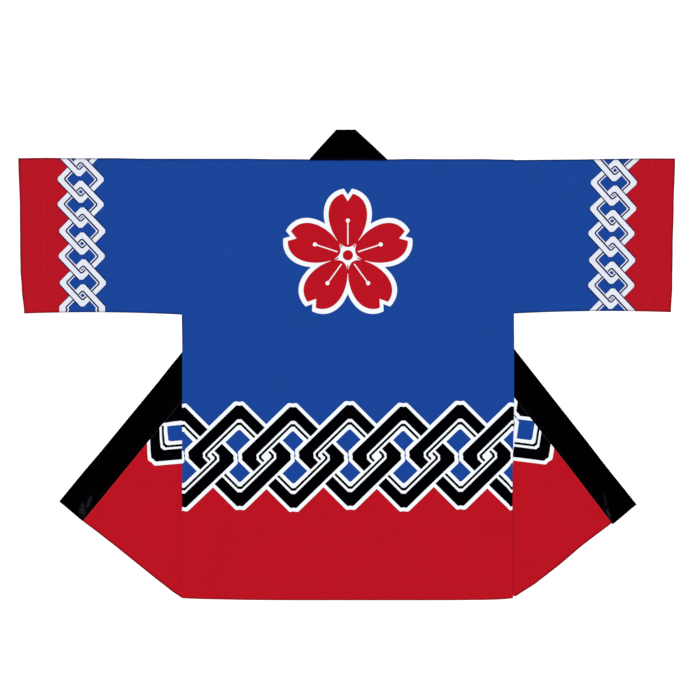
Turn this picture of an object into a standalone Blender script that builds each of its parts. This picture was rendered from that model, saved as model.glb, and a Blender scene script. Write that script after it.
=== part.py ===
"""Happi coat laid flat, back up, with both fronts folded out beneath the body.

Lengths are in metres. The pieces are made with x = 0 on the middle of the body, y = 0 on the
shoulder line, -y towards the hem and z = 0 on the surface that the coat lies on. Each is cut flat,
given its wall, and then folded as the cloth is. At the end the whole coat is moved so that the
origin is under the middle of its bounding box.
"""

import math
from collections.abc import Callable, Sequence
from dataclasses import dataclass

import bmesh
import bpy
import numpy as np

NAME = "happi_coat"

# Walls and gaps.
CLOTH = 0.0010
COLLAR_WALL = 0.0015
GAP = 0.0003

# The cut, as it lies.
BODY_LENGTH = 0.818
HALF_BODY = 0.3078
HALF_NECK = 0.0728
NECK_DROP = 0.0015
COLLAR_WIDTH = 0.055
COLLAR_EDGE = 0.004
HEM_RISE = 0.0046
HEM_RISE_POWER = 4
HEM_RISE_START = 0.500
UNDERARM_BOW = 0.0032

# Where the back and the front panels stop lying on the folded layers and come down to the
# surface: the line from the shoulder to the side where they leave them, and the way down.
LIFTED_AT_SHOULDER = 0.108
LIFTED_AT_SIDE = 0.337
SHOULDER_SLOPE = 0.025
FOLD_CLEAR = 0.003
FOLD_SLOPE = 0.030
NECK_FLAT = 0.015
NECK_SLOPE = 0.200

# Heights of the middle of each wall over the surface.
FOLDED_MID = CLOTH / 2
FRONT_MID = COLLAR_WALL + GAP + COLLAR_WALL - CLOTH / 2
BACK_MID = FRONT_MID + CLOTH + GAP
BACK_RISE = BACK_MID - CLOTH / 2
FRONT_RISE = FRONT_MID - FOLDED_MID

# Radii of the folds, to the middle of the wall, and the steps in each.
FRONT_FOLD = (FRONT_MID - FOLDED_MID) / 2
EDGE_FOLD = (CLOTH + GAP) / 2
FOLD_STEPS = 6

BACK_COLUMNS = 12
SLEEVE_COLUMNS = 8
SLEEVE_ROWS = 8
SMOOTH_TO = math.radians(35)
SAME_PLACE = 1e-6

# Colours, linear, and roughness of the cotton.
BLUE = (0.012, 0.063, 0.330)
NAVY = (0.001, 0.001, 0.003)
RED = (0.491, 0.008, 0.017)
COTTON_ROUGHNESS = 0.85


@dataclass(frozen=True)
class Side:
    """One half of the coat, as it lies: -1 is the half at -x and +1 the half at +x."""

    name: str
    sign: int
    fold_angle: float
    fold_top: float
    sleeve_top: float
    sleeve_bottom: float
    armhole_depth: float
    cuff_depth: float


#      name     sign  angle from -y        fold top  sleeve top  bottom  armhole  cuff
SIDES = (
    Side("left", -1, math.radians(19.7), -0.0055, 0.303, 0.292, 0.289, 0.287),
    Side("right", 1, math.radians(19.1), 0.0153, 0.298, 0.289, 0.287, 0.2845),
)


@dataclass(frozen=True)
class Line:
    """A line across the cloth: a point on it and the unit vector that points beyond it."""

    x: float
    y: float
    beyond_x: float
    beyond_y: float

    def past(self, flat: np.ndarray) -> np.ndarray:
        """How far each point lies beyond the line."""
        return (flat[:, 0] - self.x) * self.beyond_x + (flat[:, 1] - self.y) * self.beyond_y

    def moved(self, distance: float) -> "Line":
        """The parallel line that lies this far beyond it."""
        return Line(
            self.x + self.beyond_x * distance,
            self.y + self.beyond_y * distance,
            self.beyond_x,
            self.beyond_y,
        )

    def on(self, sign: int) -> "Line":
        """The line on the half with this sign."""
        return Line(sign * self.x, self.y, sign * self.beyond_x, self.beyond_y)


@dataclass(frozen=True)
class Slope:
    """A plane: its height is rise_x * x + rise_y * y + start."""

    rise_x: float
    rise_y: float
    start: float

    def height(self, flat: np.ndarray) -> np.ndarray:
        """The plane's height over each point."""
        return self.rise_x * flat[:, 0] + self.rise_y * flat[:, 1] + self.start

    def level(self, height: float) -> Line:
        """The line along which the plane has this height."""
        size = math.hypot(self.rise_x, self.rise_y)
        away = (height - self.start) / size**2
        return Line(
            self.rise_x * away, self.rise_y * away, self.rise_x / size, self.rise_y / size
        )

    def meets(self, other: "Slope") -> Line:
        """The line along which two planes have the same height."""
        return Slope(
            self.rise_x - other.rise_x, self.rise_y - other.rise_y, self.start - other.start
        ).level(0.0)


def slope_down(line: Line, top: float, width: float) -> Slope:
    """The plane that has height top along a line and 0 at this width beyond it."""
    fall = top / width
    start = top + fall * (line.x * line.beyond_x + line.y * line.beyond_y)
    return Slope(-fall * line.beyond_x, -fall * line.beyond_y, start)


def front_fold(side: Side) -> Line:
    """The fold of a front on the +x half, from the neck to the side of the hem."""
    return Line(
        HALF_NECK - COLLAR_WIDTH,
        side.fold_top,
        -math.cos(side.fold_angle),
        -math.sin(side.fold_angle),
    )


def mitre_fold() -> Line:
    """The fold at which the collar strip turns from the neck down a front, on the +x half."""
    return Line(HALF_NECK, -NECK_DROP, math.sqrt(0.5), math.sqrt(0.5))


def collar_fold(side: Side) -> Line:
    """The front's fold as it crosses the collar strip, before the strip is turned down."""
    fold = front_fold(side)
    along_strip = HALF_NECK - (fold.y + NECK_DROP)
    across_strip = -NECK_DROP - (fold.x - HALF_NECK)
    return Line(along_strip, across_strip, -fold.beyond_y, -fold.beyond_x)


def shoulder_fold() -> Line:
    """The edge over which the back wraps down to the fronts."""
    return Line(0.0, -EDGE_FOLD - CLOTH / 2 + math.pi * EDGE_FOLD / 2, 0.0, 1.0)


def shoulder_slope() -> Slope:
    """What the layers come down by beside the armhole, on the +x half."""
    run = HALF_BODY - LIFTED_AT_SHOULDER
    size = math.hypot(run, LIFTED_AT_SIDE)
    line = Line(LIFTED_AT_SHOULDER, 0.0, LIFTED_AT_SIDE / size, run / size)
    down = slope_down(line, FRONT_RISE, SHOULDER_SLOPE)
    return Slope(-down.rise_x, -down.rise_y, FRONT_RISE - down.start)


def bend_lines(line: Line, radius: float) -> list[Line]:
    """The lines that part a fold into its steps, from where it starts to where it ends."""
    half = math.pi * radius / 2
    return [line.moved(float(d)) for d in np.linspace(-half, half, FOLD_STEPS + 1)]


def fold(
    points: np.ndarray, flat: np.ndarray, line: Line, radius: float, turn: int
) -> np.ndarray:
    """Bends what lies beyond a line through half a turn, up for turn 1 and down for -1.

    A point in the bend moves round an axis that is one radius off the wall's middle. What is
    past the bend is turned over and lies twice the radius above or below.
    """
    half = math.pi * radius / 2
    flat_past = line.past(flat) + half
    past = line.past(points) + half
    height = points[:, 2] * turn
    angle = np.clip(flat_past / radius, 0.0, math.pi)
    bent = (radius - height) * np.sin(angle)
    bent_height = radius - (radius - height) * np.cos(angle)
    beyond = flat_past > 2 * half
    before = flat_past <= 0.0
    new_past = np.where(before, past, np.where(beyond, 2 * half - past, bent))
    new_height = np.where(before, height, np.where(beyond, 2 * radius - height, bent_height))
    result = points.copy()
    result[:, 0] += (new_past - past) * line.beyond_x
    result[:, 1] += (new_past - past) * line.beyond_y
    result[:, 2] = new_height * turn
    return result


def flat_piece(
    left: float, right: float, bottom: float, top: float, cuts: Sequence[Line]
) -> bmesh.types.BMesh:
    """A flat rectangle of cloth, parted along the lines where it will bend."""
    piece = bmesh.new()
    bmesh.ops.create_grid(piece, x_segments=1, y_segments=1, size=0.5)
    for vertex in piece.verts:
        vertex.co.x = left + (vertex.co.x + 0.5) * (right - left)
        vertex.co.y = bottom + (vertex.co.y + 0.5) * (top - bottom)
    for cut in cuts:
        bmesh.ops.bisect_plane(
            piece,
            geom=piece.verts[:] + piece.edges[:] + piece.faces[:],
            dist=SAME_PLACE,
            plane_co=(cut.x, cut.y, 0.0),
            plane_no=(cut.beyond_x, cut.beyond_y, 0.0),
        )
    return piece


def give_wall(piece: bmesh.types.BMesh, shape: Callable, flip: bool) -> None:
    """Gives the flat cloth its wall, then moves its points to where shape puts them.

    shape takes the flat points and the side of the wall each is on, -1 below and 1 above.
    """
    bmesh.ops.solidify(piece, geom=piece.faces[:], thickness=CLOTH)
    flat = np.array([vertex.co[:] for vertex in piece.verts])
    middle = (flat[:, 2].min() + flat[:, 2].max()) / 2
    face = np.where(flat[:, 2] > middle, 1.0, -1.0)
    placed = shape(flat[:, :2], face)
    for vertex, place in zip(piece.verts, placed, strict=True):
        vertex.co = place
    if flip:
        bmesh.ops.reverse_faces(piece, faces=piece.faces[:])
    bmesh.ops.triangulate(piece, faces=piece.faces[:])


def cloth_material(name: str, colour: tuple[float, float, float]) -> bpy.types.Material:
    """A cotton cloth of one colour."""
    material = bpy.data.materials.new(name)
    material.use_nodes = True
    shader = material.node_tree.nodes["Principled BSDF"]
    shader.inputs["Base Color"].default_value = (*colour, 1.0)
    shader.inputs["Roughness"].default_value = COTTON_ROUGHNESS
    shader.inputs["Metallic"].default_value = 0.0
    material.diffuse_color = (*colour, 1.0)
    return material


def add_object(
    name: str, piece: bmesh.types.BMesh, material: bpy.types.Material, parent: bpy.types.Object
) -> bpy.types.Object:
    """Puts a piece into the coat's collection, under its empty."""
    mesh = bpy.data.meshes.new(name)
    piece.to_mesh(mesh)
    piece.free()
    mesh.materials.append(material)
    made = bpy.data.objects.new(name, mesh)
    made.parent = parent
    bpy.data.collections[NAME].objects.link(made)
    mesh.shade_smooth()
    mesh.set_sharp_from_angle(angle=SMOOTH_TO)
    return made


def back_rise(plan: np.ndarray) -> np.ndarray:
    """How high the back's underside is: over the folded fronts, and down to 0 between them."""
    slopes = back_slopes()
    highest = np.max([slope.height(plan) for slope in slopes], axis=0)
    return np.clip(highest, 0.0, BACK_RISE) - shoulder_fall(plan)


def back_slopes() -> list[Slope]:
    """The planes down to the surface from each front's fold and from the neck."""
    neck = slope_down(Line(0.0, -NECK_FLAT, 0.0, -1.0), BACK_RISE, NECK_SLOPE)
    folds = [front_fold(side).moved(FOLD_CLEAR).on(side.sign) for side in SIDES]
    return [neck] + [slope_down(line, BACK_RISE, FOLD_SLOPE) for line in folds]


def shoulder_fall(plan: np.ndarray) -> np.ndarray:
    """How much lower the layers lie beside the armholes than over the folded fronts."""
    outward = np.column_stack([np.abs(plan[:, 0]), plan[:, 1]])
    return np.clip(shoulder_slope().height(outward), 0.0, FRONT_RISE)


def shape_back(flat: np.ndarray, face: np.ndarray) -> np.ndarray:
    """Wraps the shoulder edges down, lowers the hem's middle and drapes the back."""
    points = np.column_stack([flat, face * CLOTH / 2])
    wrapped = fold(points, flat, shoulder_fold(), EDGE_FOLD, -1)
    beside_neck = np.abs(flat[:, 0]) >= HALF_NECK - SAME_PLACE
    points[beside_neck] = wrapped[beside_neck]
    near_hem = (-points[:, 1] - HEM_RISE_START) / (BODY_LENGTH - HEM_RISE_START)
    rise = HEM_RISE * (flat[:, 0] / HALF_BODY) ** HEM_RISE_POWER
    points[:, 1] += rise * np.clip(near_hem, 0.0, 1.0)
    points[:, 2] += CLOTH / 2 + back_rise(points[:, :2])
    return points


def back(material: bpy.types.Material, parent: bpy.types.Object) -> bpy.types.Object:
    """The back panel: one layer from the neck and shoulders to the hem."""
    slopes = back_slopes()
    cuts = [slope.level(height) for slope in slopes for height in (0.0, BACK_RISE)]
    cuts += [slopes[0].meets(slopes[1]), slopes[0].meets(slopes[2]), slopes[1].meets(slopes[2])]
    for side in SIDES:
        cuts += [shoulder_slope().level(h).on(side.sign) for h in (0.0, FRONT_RISE)]
        cuts.append(Line(side.sign * HALF_NECK, 0.0, 1.0, 0.0))
    cuts += bend_lines(shoulder_fold(), EDGE_FOLD)[:-1]
    cuts += [Line(0.0, -NECK_DROP, 0.0, 1.0), Line(0.0, -HEM_RISE_START, 0.0, 1.0)]
    columns = np.linspace(-HALF_BODY, HALF_BODY, BACK_COLUMNS + 1)[1:-1]
    cuts += [Line(float(x), 0.0, 1.0, 0.0) for x in columns]
    shoulder = shoulder_fold().moved(math.pi * EDGE_FOLD / 2).y
    piece = flat_piece(-HALF_BODY, HALF_BODY, -BODY_LENGTH, shoulder, cuts)
    neck = [
        face
        for face in piece.faces
        if abs(face.calc_center_median().x) < HALF_NECK
        and face.calc_center_median().y > -NECK_DROP
    ]
    bmesh.ops.delete(piece, geom=neck, context="FACES")
    give_wall(piece, shape_back, False)
    return add_object("back", piece, material, parent)


def front(
    side: Side, material: bpy.types.Material, parent: bpy.types.Object
) -> bpy.types.Object:
    """A front panel: its upper part lies under the back, inner face up, and the rest is folded
    out beneath it along the line from the neck to the side of the hem, outer face up."""
    line = front_fold(side)

    def shape(flat: np.ndarray, face: np.ndarray) -> np.ndarray:
        """Folds the panel out, then lowers what lies beside the armhole."""
        points = fold(np.column_stack([flat, face * CLOTH / 2]), flat, line, FRONT_FOLD, -1)
        unfolded = line.past(flat) < 0.0
        points[:, 2] += FRONT_MID - np.where(unfolded, shoulder_fall(flat), 0.0)
        points[:, 0] *= side.sign
        return points

    cuts = bend_lines(line, FRONT_FOLD)
    cuts += [shoulder_slope().level(height) for height in (0.0, FRONT_RISE)]
    shoulder = -EDGE_FOLD - CLOTH / 2 - GAP
    piece = flat_piece(HALF_NECK, HALF_BODY, -BODY_LENGTH, shoulder, cuts)
    give_wall(piece, shape, side.sign < 0)
    return add_object(f"front_{side.name}", piece, material, parent)


def shape_collar(flat: np.ndarray, face: np.ndarray) -> np.ndarray:
    """Folds both halves of the collar strip: at the fronts' folds, then at the neck's mitres.

    The strip is as thick as the cloth at its seam and thickens on its outer face.
    """
    thicker = np.clip((flat[:, 1] + NECK_DROP) / COLLAR_EDGE, 0.0, 1.0)
    outer = CLOTH / 2 + (COLLAR_WALL - CLOTH) * thicker
    offset = np.where(face > 0.0, outer, -CLOTH / 2)
    result = np.zeros((len(flat), 3))
    for side in SIDES:
        here = flat[:, 0] * side.sign >= 0.0
        half_flat = np.column_stack([np.abs(flat[here, 0]), flat[here, 1]])
        points = np.column_stack([half_flat, offset[here]])
        points = fold(points, half_flat, collar_fold(side), FRONT_FOLD, 1)
        points = fold(points, half_flat, mitre_fold(), EDGE_FOLD, -1)
        points[:, 0] *= side.sign
        result[here] = points
    result[:, 2] += BACK_MID
    return result


def collar(material: bpy.types.Material, parent: bpy.types.Object) -> bpy.types.Object:
    """The collar: one straight strip from hem to hem round the neck."""
    cuts = [Line(0.0, -NECK_DROP + COLLAR_EDGE, 0.0, 1.0), Line(0.0, 0.0, 1.0, 0.0)]
    for side in SIDES:
        cuts += [line.on(side.sign) for line in bend_lines(collar_fold(side), FRONT_FOLD)]
        cuts += [line.on(side.sign) for line in bend_lines(mitre_fold(), EDGE_FOLD)]
    reach = HALF_NECK + BODY_LENGTH - NECK_DROP
    piece = flat_piece(-reach, reach, GAP - NECK_DROP, COLLAR_WIDTH - NECK_DROP, cuts)
    give_wall(piece, shape_collar, False)
    return add_object("collar", piece, material, parent)


def sleeve_ring(depth: float) -> np.ndarray:
    """The middle of a sleeve's wall, all round: y and z, from its upper layer's top edge."""
    top = -EDGE_FOLD - CLOTH / 2
    bottom = -depth - top
    middle = CLOTH / 2 + EDGE_FOLD
    rows = np.linspace(top, bottom, SLEEVE_ROWS + 1)
    upper = [(y, middle + EDGE_FOLD) for y in rows]
    lower = [(y, middle - EDGE_FOLD) for y in rows[::-1]]
    turns = np.linspace(0.0, math.pi, FOLD_STEPS + 1)[1:-1]
    low_edge = [
        (bottom - EDGE_FOLD * math.sin(a), middle + EDGE_FOLD * math.cos(a)) for a in turns
    ]
    high_edge = [
        (top + EDGE_FOLD * math.sin(a), middle - EDGE_FOLD * math.cos(a)) for a in turns
    ]
    return np.array(upper + low_edge + lower + high_edge)


def sleeve(
    side: Side, material: bpy.types.Material, parent: bpy.types.Object
) -> bpy.types.Object:
    """A sleeve: a flattened tube from the armhole to the cuff, folded along the shoulder line.

    Its underarm seam bows up a little between the two.
    """
    piece = bmesh.new()
    rings = []
    for part in np.linspace(0.0, 1.0, SLEEVE_COLUMNS + 1):
        depth = side.armhole_depth + (side.cuff_depth - side.armhole_depth) * part
        depth -= UNDERARM_BOW * 4 * part * (1 - part)
        ring = []
        for y, z in sleeve_ring(depth):
            down = min(max(-y / depth, 0.0), 1.0)
            length = side.sleeve_top + (side.sleeve_bottom - side.sleeve_top) * down**2
            x = HALF_BODY + GAP + (length - GAP) * part
            ring.append(piece.verts.new((side.sign * x, y, z)))
        rings.append(ring)
    for inner, outer in zip(rings, rings[1:], strict=False):
        for i in range(len(inner)):
            j = (i + 1) % len(inner)
            piece.faces.new((inner[i], inner[j], outer[j], outer[i]))
    bmesh.ops.recalc_face_normals(piece, faces=piece.faces[:])
    made = add_object(f"sleeve_{side.name}", piece, material, parent)
    wall = made.modifiers.new("wall", "SOLIDIFY")
    wall.thickness = CLOTH
    wall.offset = 0.0
    wall.use_even_offset = True
    return made


def centre(parts: Sequence[bpy.types.Object], parent: bpy.types.Object) -> None:
    """Moves the coat so that the origin is under the middle of its bounding box."""
    points = np.array([vertex.co[:] for made in parts for vertex in made.data.vertices])
    low, high = points.min(axis=0), points.max(axis=0)
    parent.location = (-(low[0] + high[0]) / 2, -(low[1] + high[1]) / 2, 0.0)


def main() -> None:
    """Clears the scene and makes the coat."""
    for old in list(bpy.data.objects):
        bpy.data.objects.remove(old)
    collection = bpy.data.collections.new(NAME)
    bpy.context.scene.collection.children.link(collection)
    parent = bpy.data.objects.new(NAME, None)
    collection.objects.link(parent)
    parts = [back(cloth_material("back_cotton", BLUE), parent)]
    for side in SIDES:
        parts.append(front(side, cloth_material(f"front_{side.name}_cotton", RED), parent))
        parts.append(sleeve(side, cloth_material(f"sleeve_{side.name}_cotton", BLUE), parent))
    parts.append(collar(cloth_material("collar_cotton", NAVY), parent))
    centre(parts, parent)


main()
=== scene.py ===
"""Dresses the happi coat: fine cloth on every panel, its printed bands, its stitching and the studio.

The coat lies flat, back up. Both fronts are folded out beneath the body along a slanting line from
the neck to the side of the hem. Every panel is worked out on its flat cut, in metres, with x = 0 on
the middle of the body, y = 0 on the shoulder line and -y towards the hem. It is then folded as the
cloth is and moved to the place of its solid.
"""

import logging
import math
from collections.abc import Sequence
from dataclasses import dataclass, field
from enum import Enum

import bpy
import numpy as np
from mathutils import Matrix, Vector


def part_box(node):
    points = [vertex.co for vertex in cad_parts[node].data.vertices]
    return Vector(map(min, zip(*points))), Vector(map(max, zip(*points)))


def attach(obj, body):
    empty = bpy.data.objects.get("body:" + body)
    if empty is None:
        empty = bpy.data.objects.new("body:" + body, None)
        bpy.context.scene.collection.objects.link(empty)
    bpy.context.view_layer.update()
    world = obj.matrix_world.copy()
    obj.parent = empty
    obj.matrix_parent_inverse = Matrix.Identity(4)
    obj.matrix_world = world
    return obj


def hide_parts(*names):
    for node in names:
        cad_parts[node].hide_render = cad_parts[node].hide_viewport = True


Array = np.ndarray

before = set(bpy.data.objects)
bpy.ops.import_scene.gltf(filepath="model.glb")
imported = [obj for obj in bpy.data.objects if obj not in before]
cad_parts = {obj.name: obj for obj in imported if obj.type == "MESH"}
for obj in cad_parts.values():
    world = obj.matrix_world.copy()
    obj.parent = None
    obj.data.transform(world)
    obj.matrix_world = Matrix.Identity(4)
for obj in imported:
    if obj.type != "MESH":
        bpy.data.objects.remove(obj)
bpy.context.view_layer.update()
LOG = logging.getLogger("happi_coat")

# How far from a rim its painted shade reaches, and from a seam its painted highlight, in metres.
RIM_REACH = 0.0055
SEAM_REACH = 0.0020
# The slow waves in loose cloth: their height in all, and for each wave its turn for each metre
# across and along, its start and its share of the height.
RIPPLE = 0.0003
WAVES = (
    (31.0, 9.0, 0.0, 1.0),
    (-23.0, 17.0, 1.3, 1.0),
    (53.0, 41.0, 0.7, 0.6),
    (-38.0, 67.0, 0.0, 0.4),
)
# Too small to see: it keeps the middle of the body on one half.
JUST_ASIDE = 1e-9
# Half the gap between the back's two columns where its neck begins.
NECK_SPLIT = 5e-5
# The least gap between a front's rows, where its fold leaves no room.
ROW_GAP = 2e-5


class Face(Enum):
    """Which face of the cloth a surface shows; the number is kept in the cut attribute."""

    OUTER = 1.0
    INNER = -1.0


class Turn(Enum):
    """Which way a fold turns the cloth that lies beyond it."""

    OVER = 1
    UNDER = -1


@dataclass(frozen=True)
class Line:
    """A straight line across the cloth.

    Attributes:
        x: a point on it, across.
        y: that point's height.
        beyond_x: the unit vector that points beyond the line, across.
        beyond_y: the same vector's height.
    """

    x: float
    y: float
    beyond_x: float
    beyond_y: float

    def past(self, flat: Array) -> Array:
        """How far each point lies beyond the line: its offset from the line's point along beyond."""
        return (flat[..., 0] - self.x) * self.beyond_x + (flat[..., 1] - self.y) * self.beyond_y

    def across(self, y: Array) -> Array:
        """The x at which the line crosses each height y."""
        return self.x - (y - self.y) * self.beyond_y / self.beyond_x

    def up(self, x: Array) -> Array:
        """The y at which the line crosses each x."""
        return self.y - (x - self.x) * self.beyond_x / self.beyond_y


def between(steps: Sequence[tuple[float, float]], at: Array) -> Array:
    """A curve through a few set points, in soft steps from each to the next.

    Args:
        steps: the set points, place and value, in rising order of place.
        at: the places to work it out for.

    Returns:
        The curve's value at each place; outside the set points it keeps the last one's.
    """
    places, values = (np.array(row) for row in zip(*steps))
    index = np.interp(at, places, np.arange(len(places)))
    whole = np.floor(index)
    return np.interp(whole + soft_step(index - whole), np.arange(len(places)), values)


@dataclass(frozen=True)
class Half:
    """One half of the coat, as it lies.

    Attributes:
        name: left or right, as the coat lies.
        sign: -1 for the half at -x and 1 for the half at +x.
        fold_angle: the front's fold, from -y.
        fold_top: the height at which that fold meets the collar's free edge.
        sleeve_top: the sleeve's length along the shoulder line.
        armhole_depth: its depth at the body.
        cuff_depth: its depth at the cuff.
        link_x: the middle of the sleeve's band of links, from the middle of the body.
        link_drift: how much nearer the body the band is at the underarm seam.
        link_y: the middle of one of its links, below the shoulder line.
        link_slip: how far the print is moved at the shoulder line, outward and down the sleeve.
        underarm_seam: how far below the shoulder line the sleeve's underarm seam lies.
        front_link: the middle of the front's link, from the collar's seam and from the hem.
        front_tilt: how far the front's band is turned against its hem.
        hem_power: how late the back's hem turns up towards its corner.
        neck_lean: how far the collar behind the neck is moved to +x, and how much it leans to -x.
        cuff_in: how much nearer the body the cuff's end is, at parts of the way down it.
        collar_reach: how far the collar's end reaches past its cut, at places across the front.
        collar_seam: how far its seam is moved towards the front's side, at heights of the cut.
        collar_edge: how far its free edge is moved outward, at heights of the cut.
        hem_reach: how far the front's hem reaches past its cut, at places across it.
        side_pull: how far the back's side edge is drawn in, at heights of the cut.
        shoulder_sag: how far the shoulder line sags, at places out from the middle.
    """

    name: str
    sign: int
    fold_angle: float
    fold_top: float
    sleeve_top: float
    armhole_depth: float
    cuff_depth: float
    link_x: float
    link_drift: float
    link_y: float
    link_slip: tuple[float, float]
    underarm_seam: float
    front_link: tuple[float, float]
    front_tilt: float
    hem_power: int
    neck_lean: tuple[float, float]
    cuff_in: tuple[tuple[float, float], ...]
    collar_reach: tuple[tuple[float, float], ...]
    collar_seam: tuple[tuple[float, float], ...]
    collar_edge: tuple[tuple[float, float], ...]
    hem_reach: tuple[tuple[float, float], ...]
    side_pull: tuple[tuple[float, float], ...]
    shoulder_sag: tuple[tuple[float, float], ...]

    def pulled(self, flat: Array) -> Array:
        """How far in the cloth is drawn near the side edge, at points of the cut with x outward."""
        beside = soft_step(1.0 - (CUT.half_body - flat[..., 0]) / CUT.side_ease)
        return between(self.side_pull, flat[..., 1]) * beside

    def sagged(self, x: Array) -> Array:
        """How far the shoulder line sags at each place out from the middle."""
        return between(self.shoulder_sag, x)


LEFT = Half(
    name="left",
    sign=-1,
    fold_angle=math.radians(19.7),
    fold_top=-0.0055,
    sleeve_top=0.303,
    armhole_depth=0.289,
    cuff_depth=0.287,
    link_x=0.4956,
    link_drift=0.0052,
    link_y=0.0381,
    link_slip=(0.0005, 0.0005),
    underarm_seam=0.2797,
    front_link=(0.0303, 0.2618),
    front_tilt=math.radians(-0.4),
    hem_power=4,
    neck_lean=(0.0004, 0.044),
    cuff_in=(
        (0.0, 0.0), (0.33, 0.0029), (0.58, 0.0034), (0.72, 0.0041), (0.83, 0.0063), (1.0, 0.0108),
    ),
    collar_reach=((0.018, 0.0028), (0.073, 0.0034)),
    collar_seam=(
        (-0.818, 0.0019), (-0.770, 0.0024), (-0.680, 0.0021), (-0.450, 0.0018), (-0.340, 0.0),
    ),
    collar_edge=(
        (-0.750, 0.0), (-0.700, -0.0009), (-0.540, -0.0010), (-0.490, -0.0003), (-0.420, 0.0),
    ),
    hem_reach=(
        (0.073, 0.0030), (0.120, 0.0014), (0.160, 0.0004), (0.235, -0.0002), (0.283, -0.0013),
        (0.308, -0.0032),
    ),
    side_pull=((-0.818, 0.0008), (-0.340, 0.0010), (-0.286, 0.0), (0.0, 0.0)),
    shoulder_sag=(
        (0.020, 0.0014), (0.070, 0.0014), (0.120, 0.0010), (0.190, 0.0002), (0.370, 0.0),
        (0.440, -0.0010), (0.500, -0.0008), (0.560, -0.0016), (0.610, -0.0010),
    ),
)
RIGHT = Half(
    name="right",
    sign=1,
    fold_angle=math.radians(19.1),
    fold_top=0.0153,
    sleeve_top=0.298,
    armhole_depth=0.287,
    cuff_depth=0.2845,
    link_x=0.4907,
    link_drift=0.0026,
    link_y=0.0426,
    link_slip=(0.0048, 0.0032),
    underarm_seam=0.287,
    front_link=(0.0233, 0.2608),
    front_tilt=math.radians(-0.4),
    hem_power=8,
    neck_lean=(0.0014, 0.127),
    cuff_in=((0.0, -0.0006), (0.33, 0.0020), (0.58, 0.0038), (0.83, 0.0046), (1.0, 0.0070)),
    collar_reach=((0.018, 0.0026), (0.073, 0.0041)),
    collar_seam=(
        (-0.818, 0.0016), (-0.761, 0.0006), (-0.690, -0.0003), (-0.450, -0.0003), (-0.340, 0.0),
    ),
    collar_edge=(
        (-0.818, 0.0009), (-0.730, 0.0003), (-0.650, 0.0009), (-0.450, 0.0010), (-0.380, 0.0),
    ),
    hem_reach=(
        (0.073, 0.0012), (0.140, 0.0001), (0.205, 0.0021), (0.250, 0.0018), (0.298, -0.0018),
        (0.304, -0.0066),
    ),
    side_pull=((-0.818, 0.0020), (-0.700, 0.0034), (-0.600, 0.0029), (-0.440, 0.0), (0.0, 0.0)),
    shoulder_sag=(
        (0.020, 0.0013), (0.080, 0.0015), (0.115, 0.0008), (0.190, 0.0011), (0.250, 0.0009),
        (0.310, 0.0024), (0.420, 0.0015), (0.480, 0.0004), (0.560, -0.0006), (0.610, -0.0004),
    ),
)
HALVES = (LEFT, RIGHT)


def soft_step(part: Array) -> Array:
    """A step from 0 to 1 with no corners: 3 p^2 - 2 p^3 of the part, held between 0 and 1."""
    held = np.clip(part, 0.0, 1.0)
    return held * held * (3.0 - 2.0 * held)


def fold(points: Array, flat: Array, line: Line, radius: float, turn: Turn) -> Array:
    """Bends what lies beyond a line through half a turn.

    A point whose flat place is a distance d past the start of the bend turns by d / radius round an
    axis one radius off the wall's middle. Past half a turn it lies upside down, twice the radius
    above or below.

    Args:
        points: where the points are now, x, y and height.
        flat: where they are in the flat cut.
        line: the middle of the bend.
        radius: from the bend's axis to the middle of the wall.
        turn: whether what lies beyond goes over or under.

    Returns:
        The folded points.
    """
    half_bend = math.pi * radius / 2
    flat_past = line.past(flat) + half_bend
    past = line.past(points) + half_bend
    height = points[..., 2] * turn.value
    angle = np.clip(flat_past / radius, 0.0, math.pi)
    bent = (radius - height) * np.sin(angle)
    bent_height = radius - (radius - height) * np.cos(angle)
    before, beyond = flat_past <= 0.0, flat_past > 2 * half_bend
    new_past = np.where(before, past, np.where(beyond, 2 * half_bend - past, bent))
    new_height = np.where(before, height, np.where(beyond, 2 * radius - height, bent_height))
    folded = points.copy()
    folded[..., 0] += (new_past - past) * line.beyond_x
    folded[..., 1] += (new_past - past) * line.beyond_y
    folded[..., 2] = new_height * turn.value
    return folded


@dataclass(frozen=True)
class Crease:
    """A soft ridge that a crease in storage left in the cloth, in the coat's own plan.

    Attributes:
        start: one end, x and y.
        end: the other end.
        width: from its crest to where it has all but gone.
        height: of its crest.
    """

    start: tuple[float, float]
    end: tuple[float, float]
    width: float
    height: float

    def lift(self, plan: Array) -> Array:
        """The ridge's height at each point: a bell across it that fades towards both ends.

        Args:
            plan: points, x and y first.

        Returns:
            The lift of each point, in metres.
        """
        run = np.subtract(self.end, self.start)
        along = ((plan[..., :2] - self.start) @ run) / (run @ run)
        nearest = np.clip(along, 0.0, 1.0)[..., None] * run + self.start
        away = np.linalg.norm(plan[..., :2] - nearest, axis=-1)
        fade = soft_step(4.0 * np.clip(along, 0.0, 1.0) * (1.0 - np.clip(along, 0.0, 1.0)))
        return self.height * fade * np.exp(-((away / self.width) ** 2) * 3.0)


def rim(*distances: Array) -> Array:
    """How near points are to a rim, for the painted shade there: 1 on it, 0 at RIM_REACH, and evenly
    on below 0 past that.
    """
    nearest = np.minimum.reduce(np.broadcast_arrays(*distances))
    return 1.0 - nearest / RIM_REACH


def lift_of(creases: Sequence[Crease], plan: Array) -> Array:
    """The height of all the creases together at each point."""
    return sum((crease.lift(plan) for crease in creases), np.zeros(plan.shape[:-1]))


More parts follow.
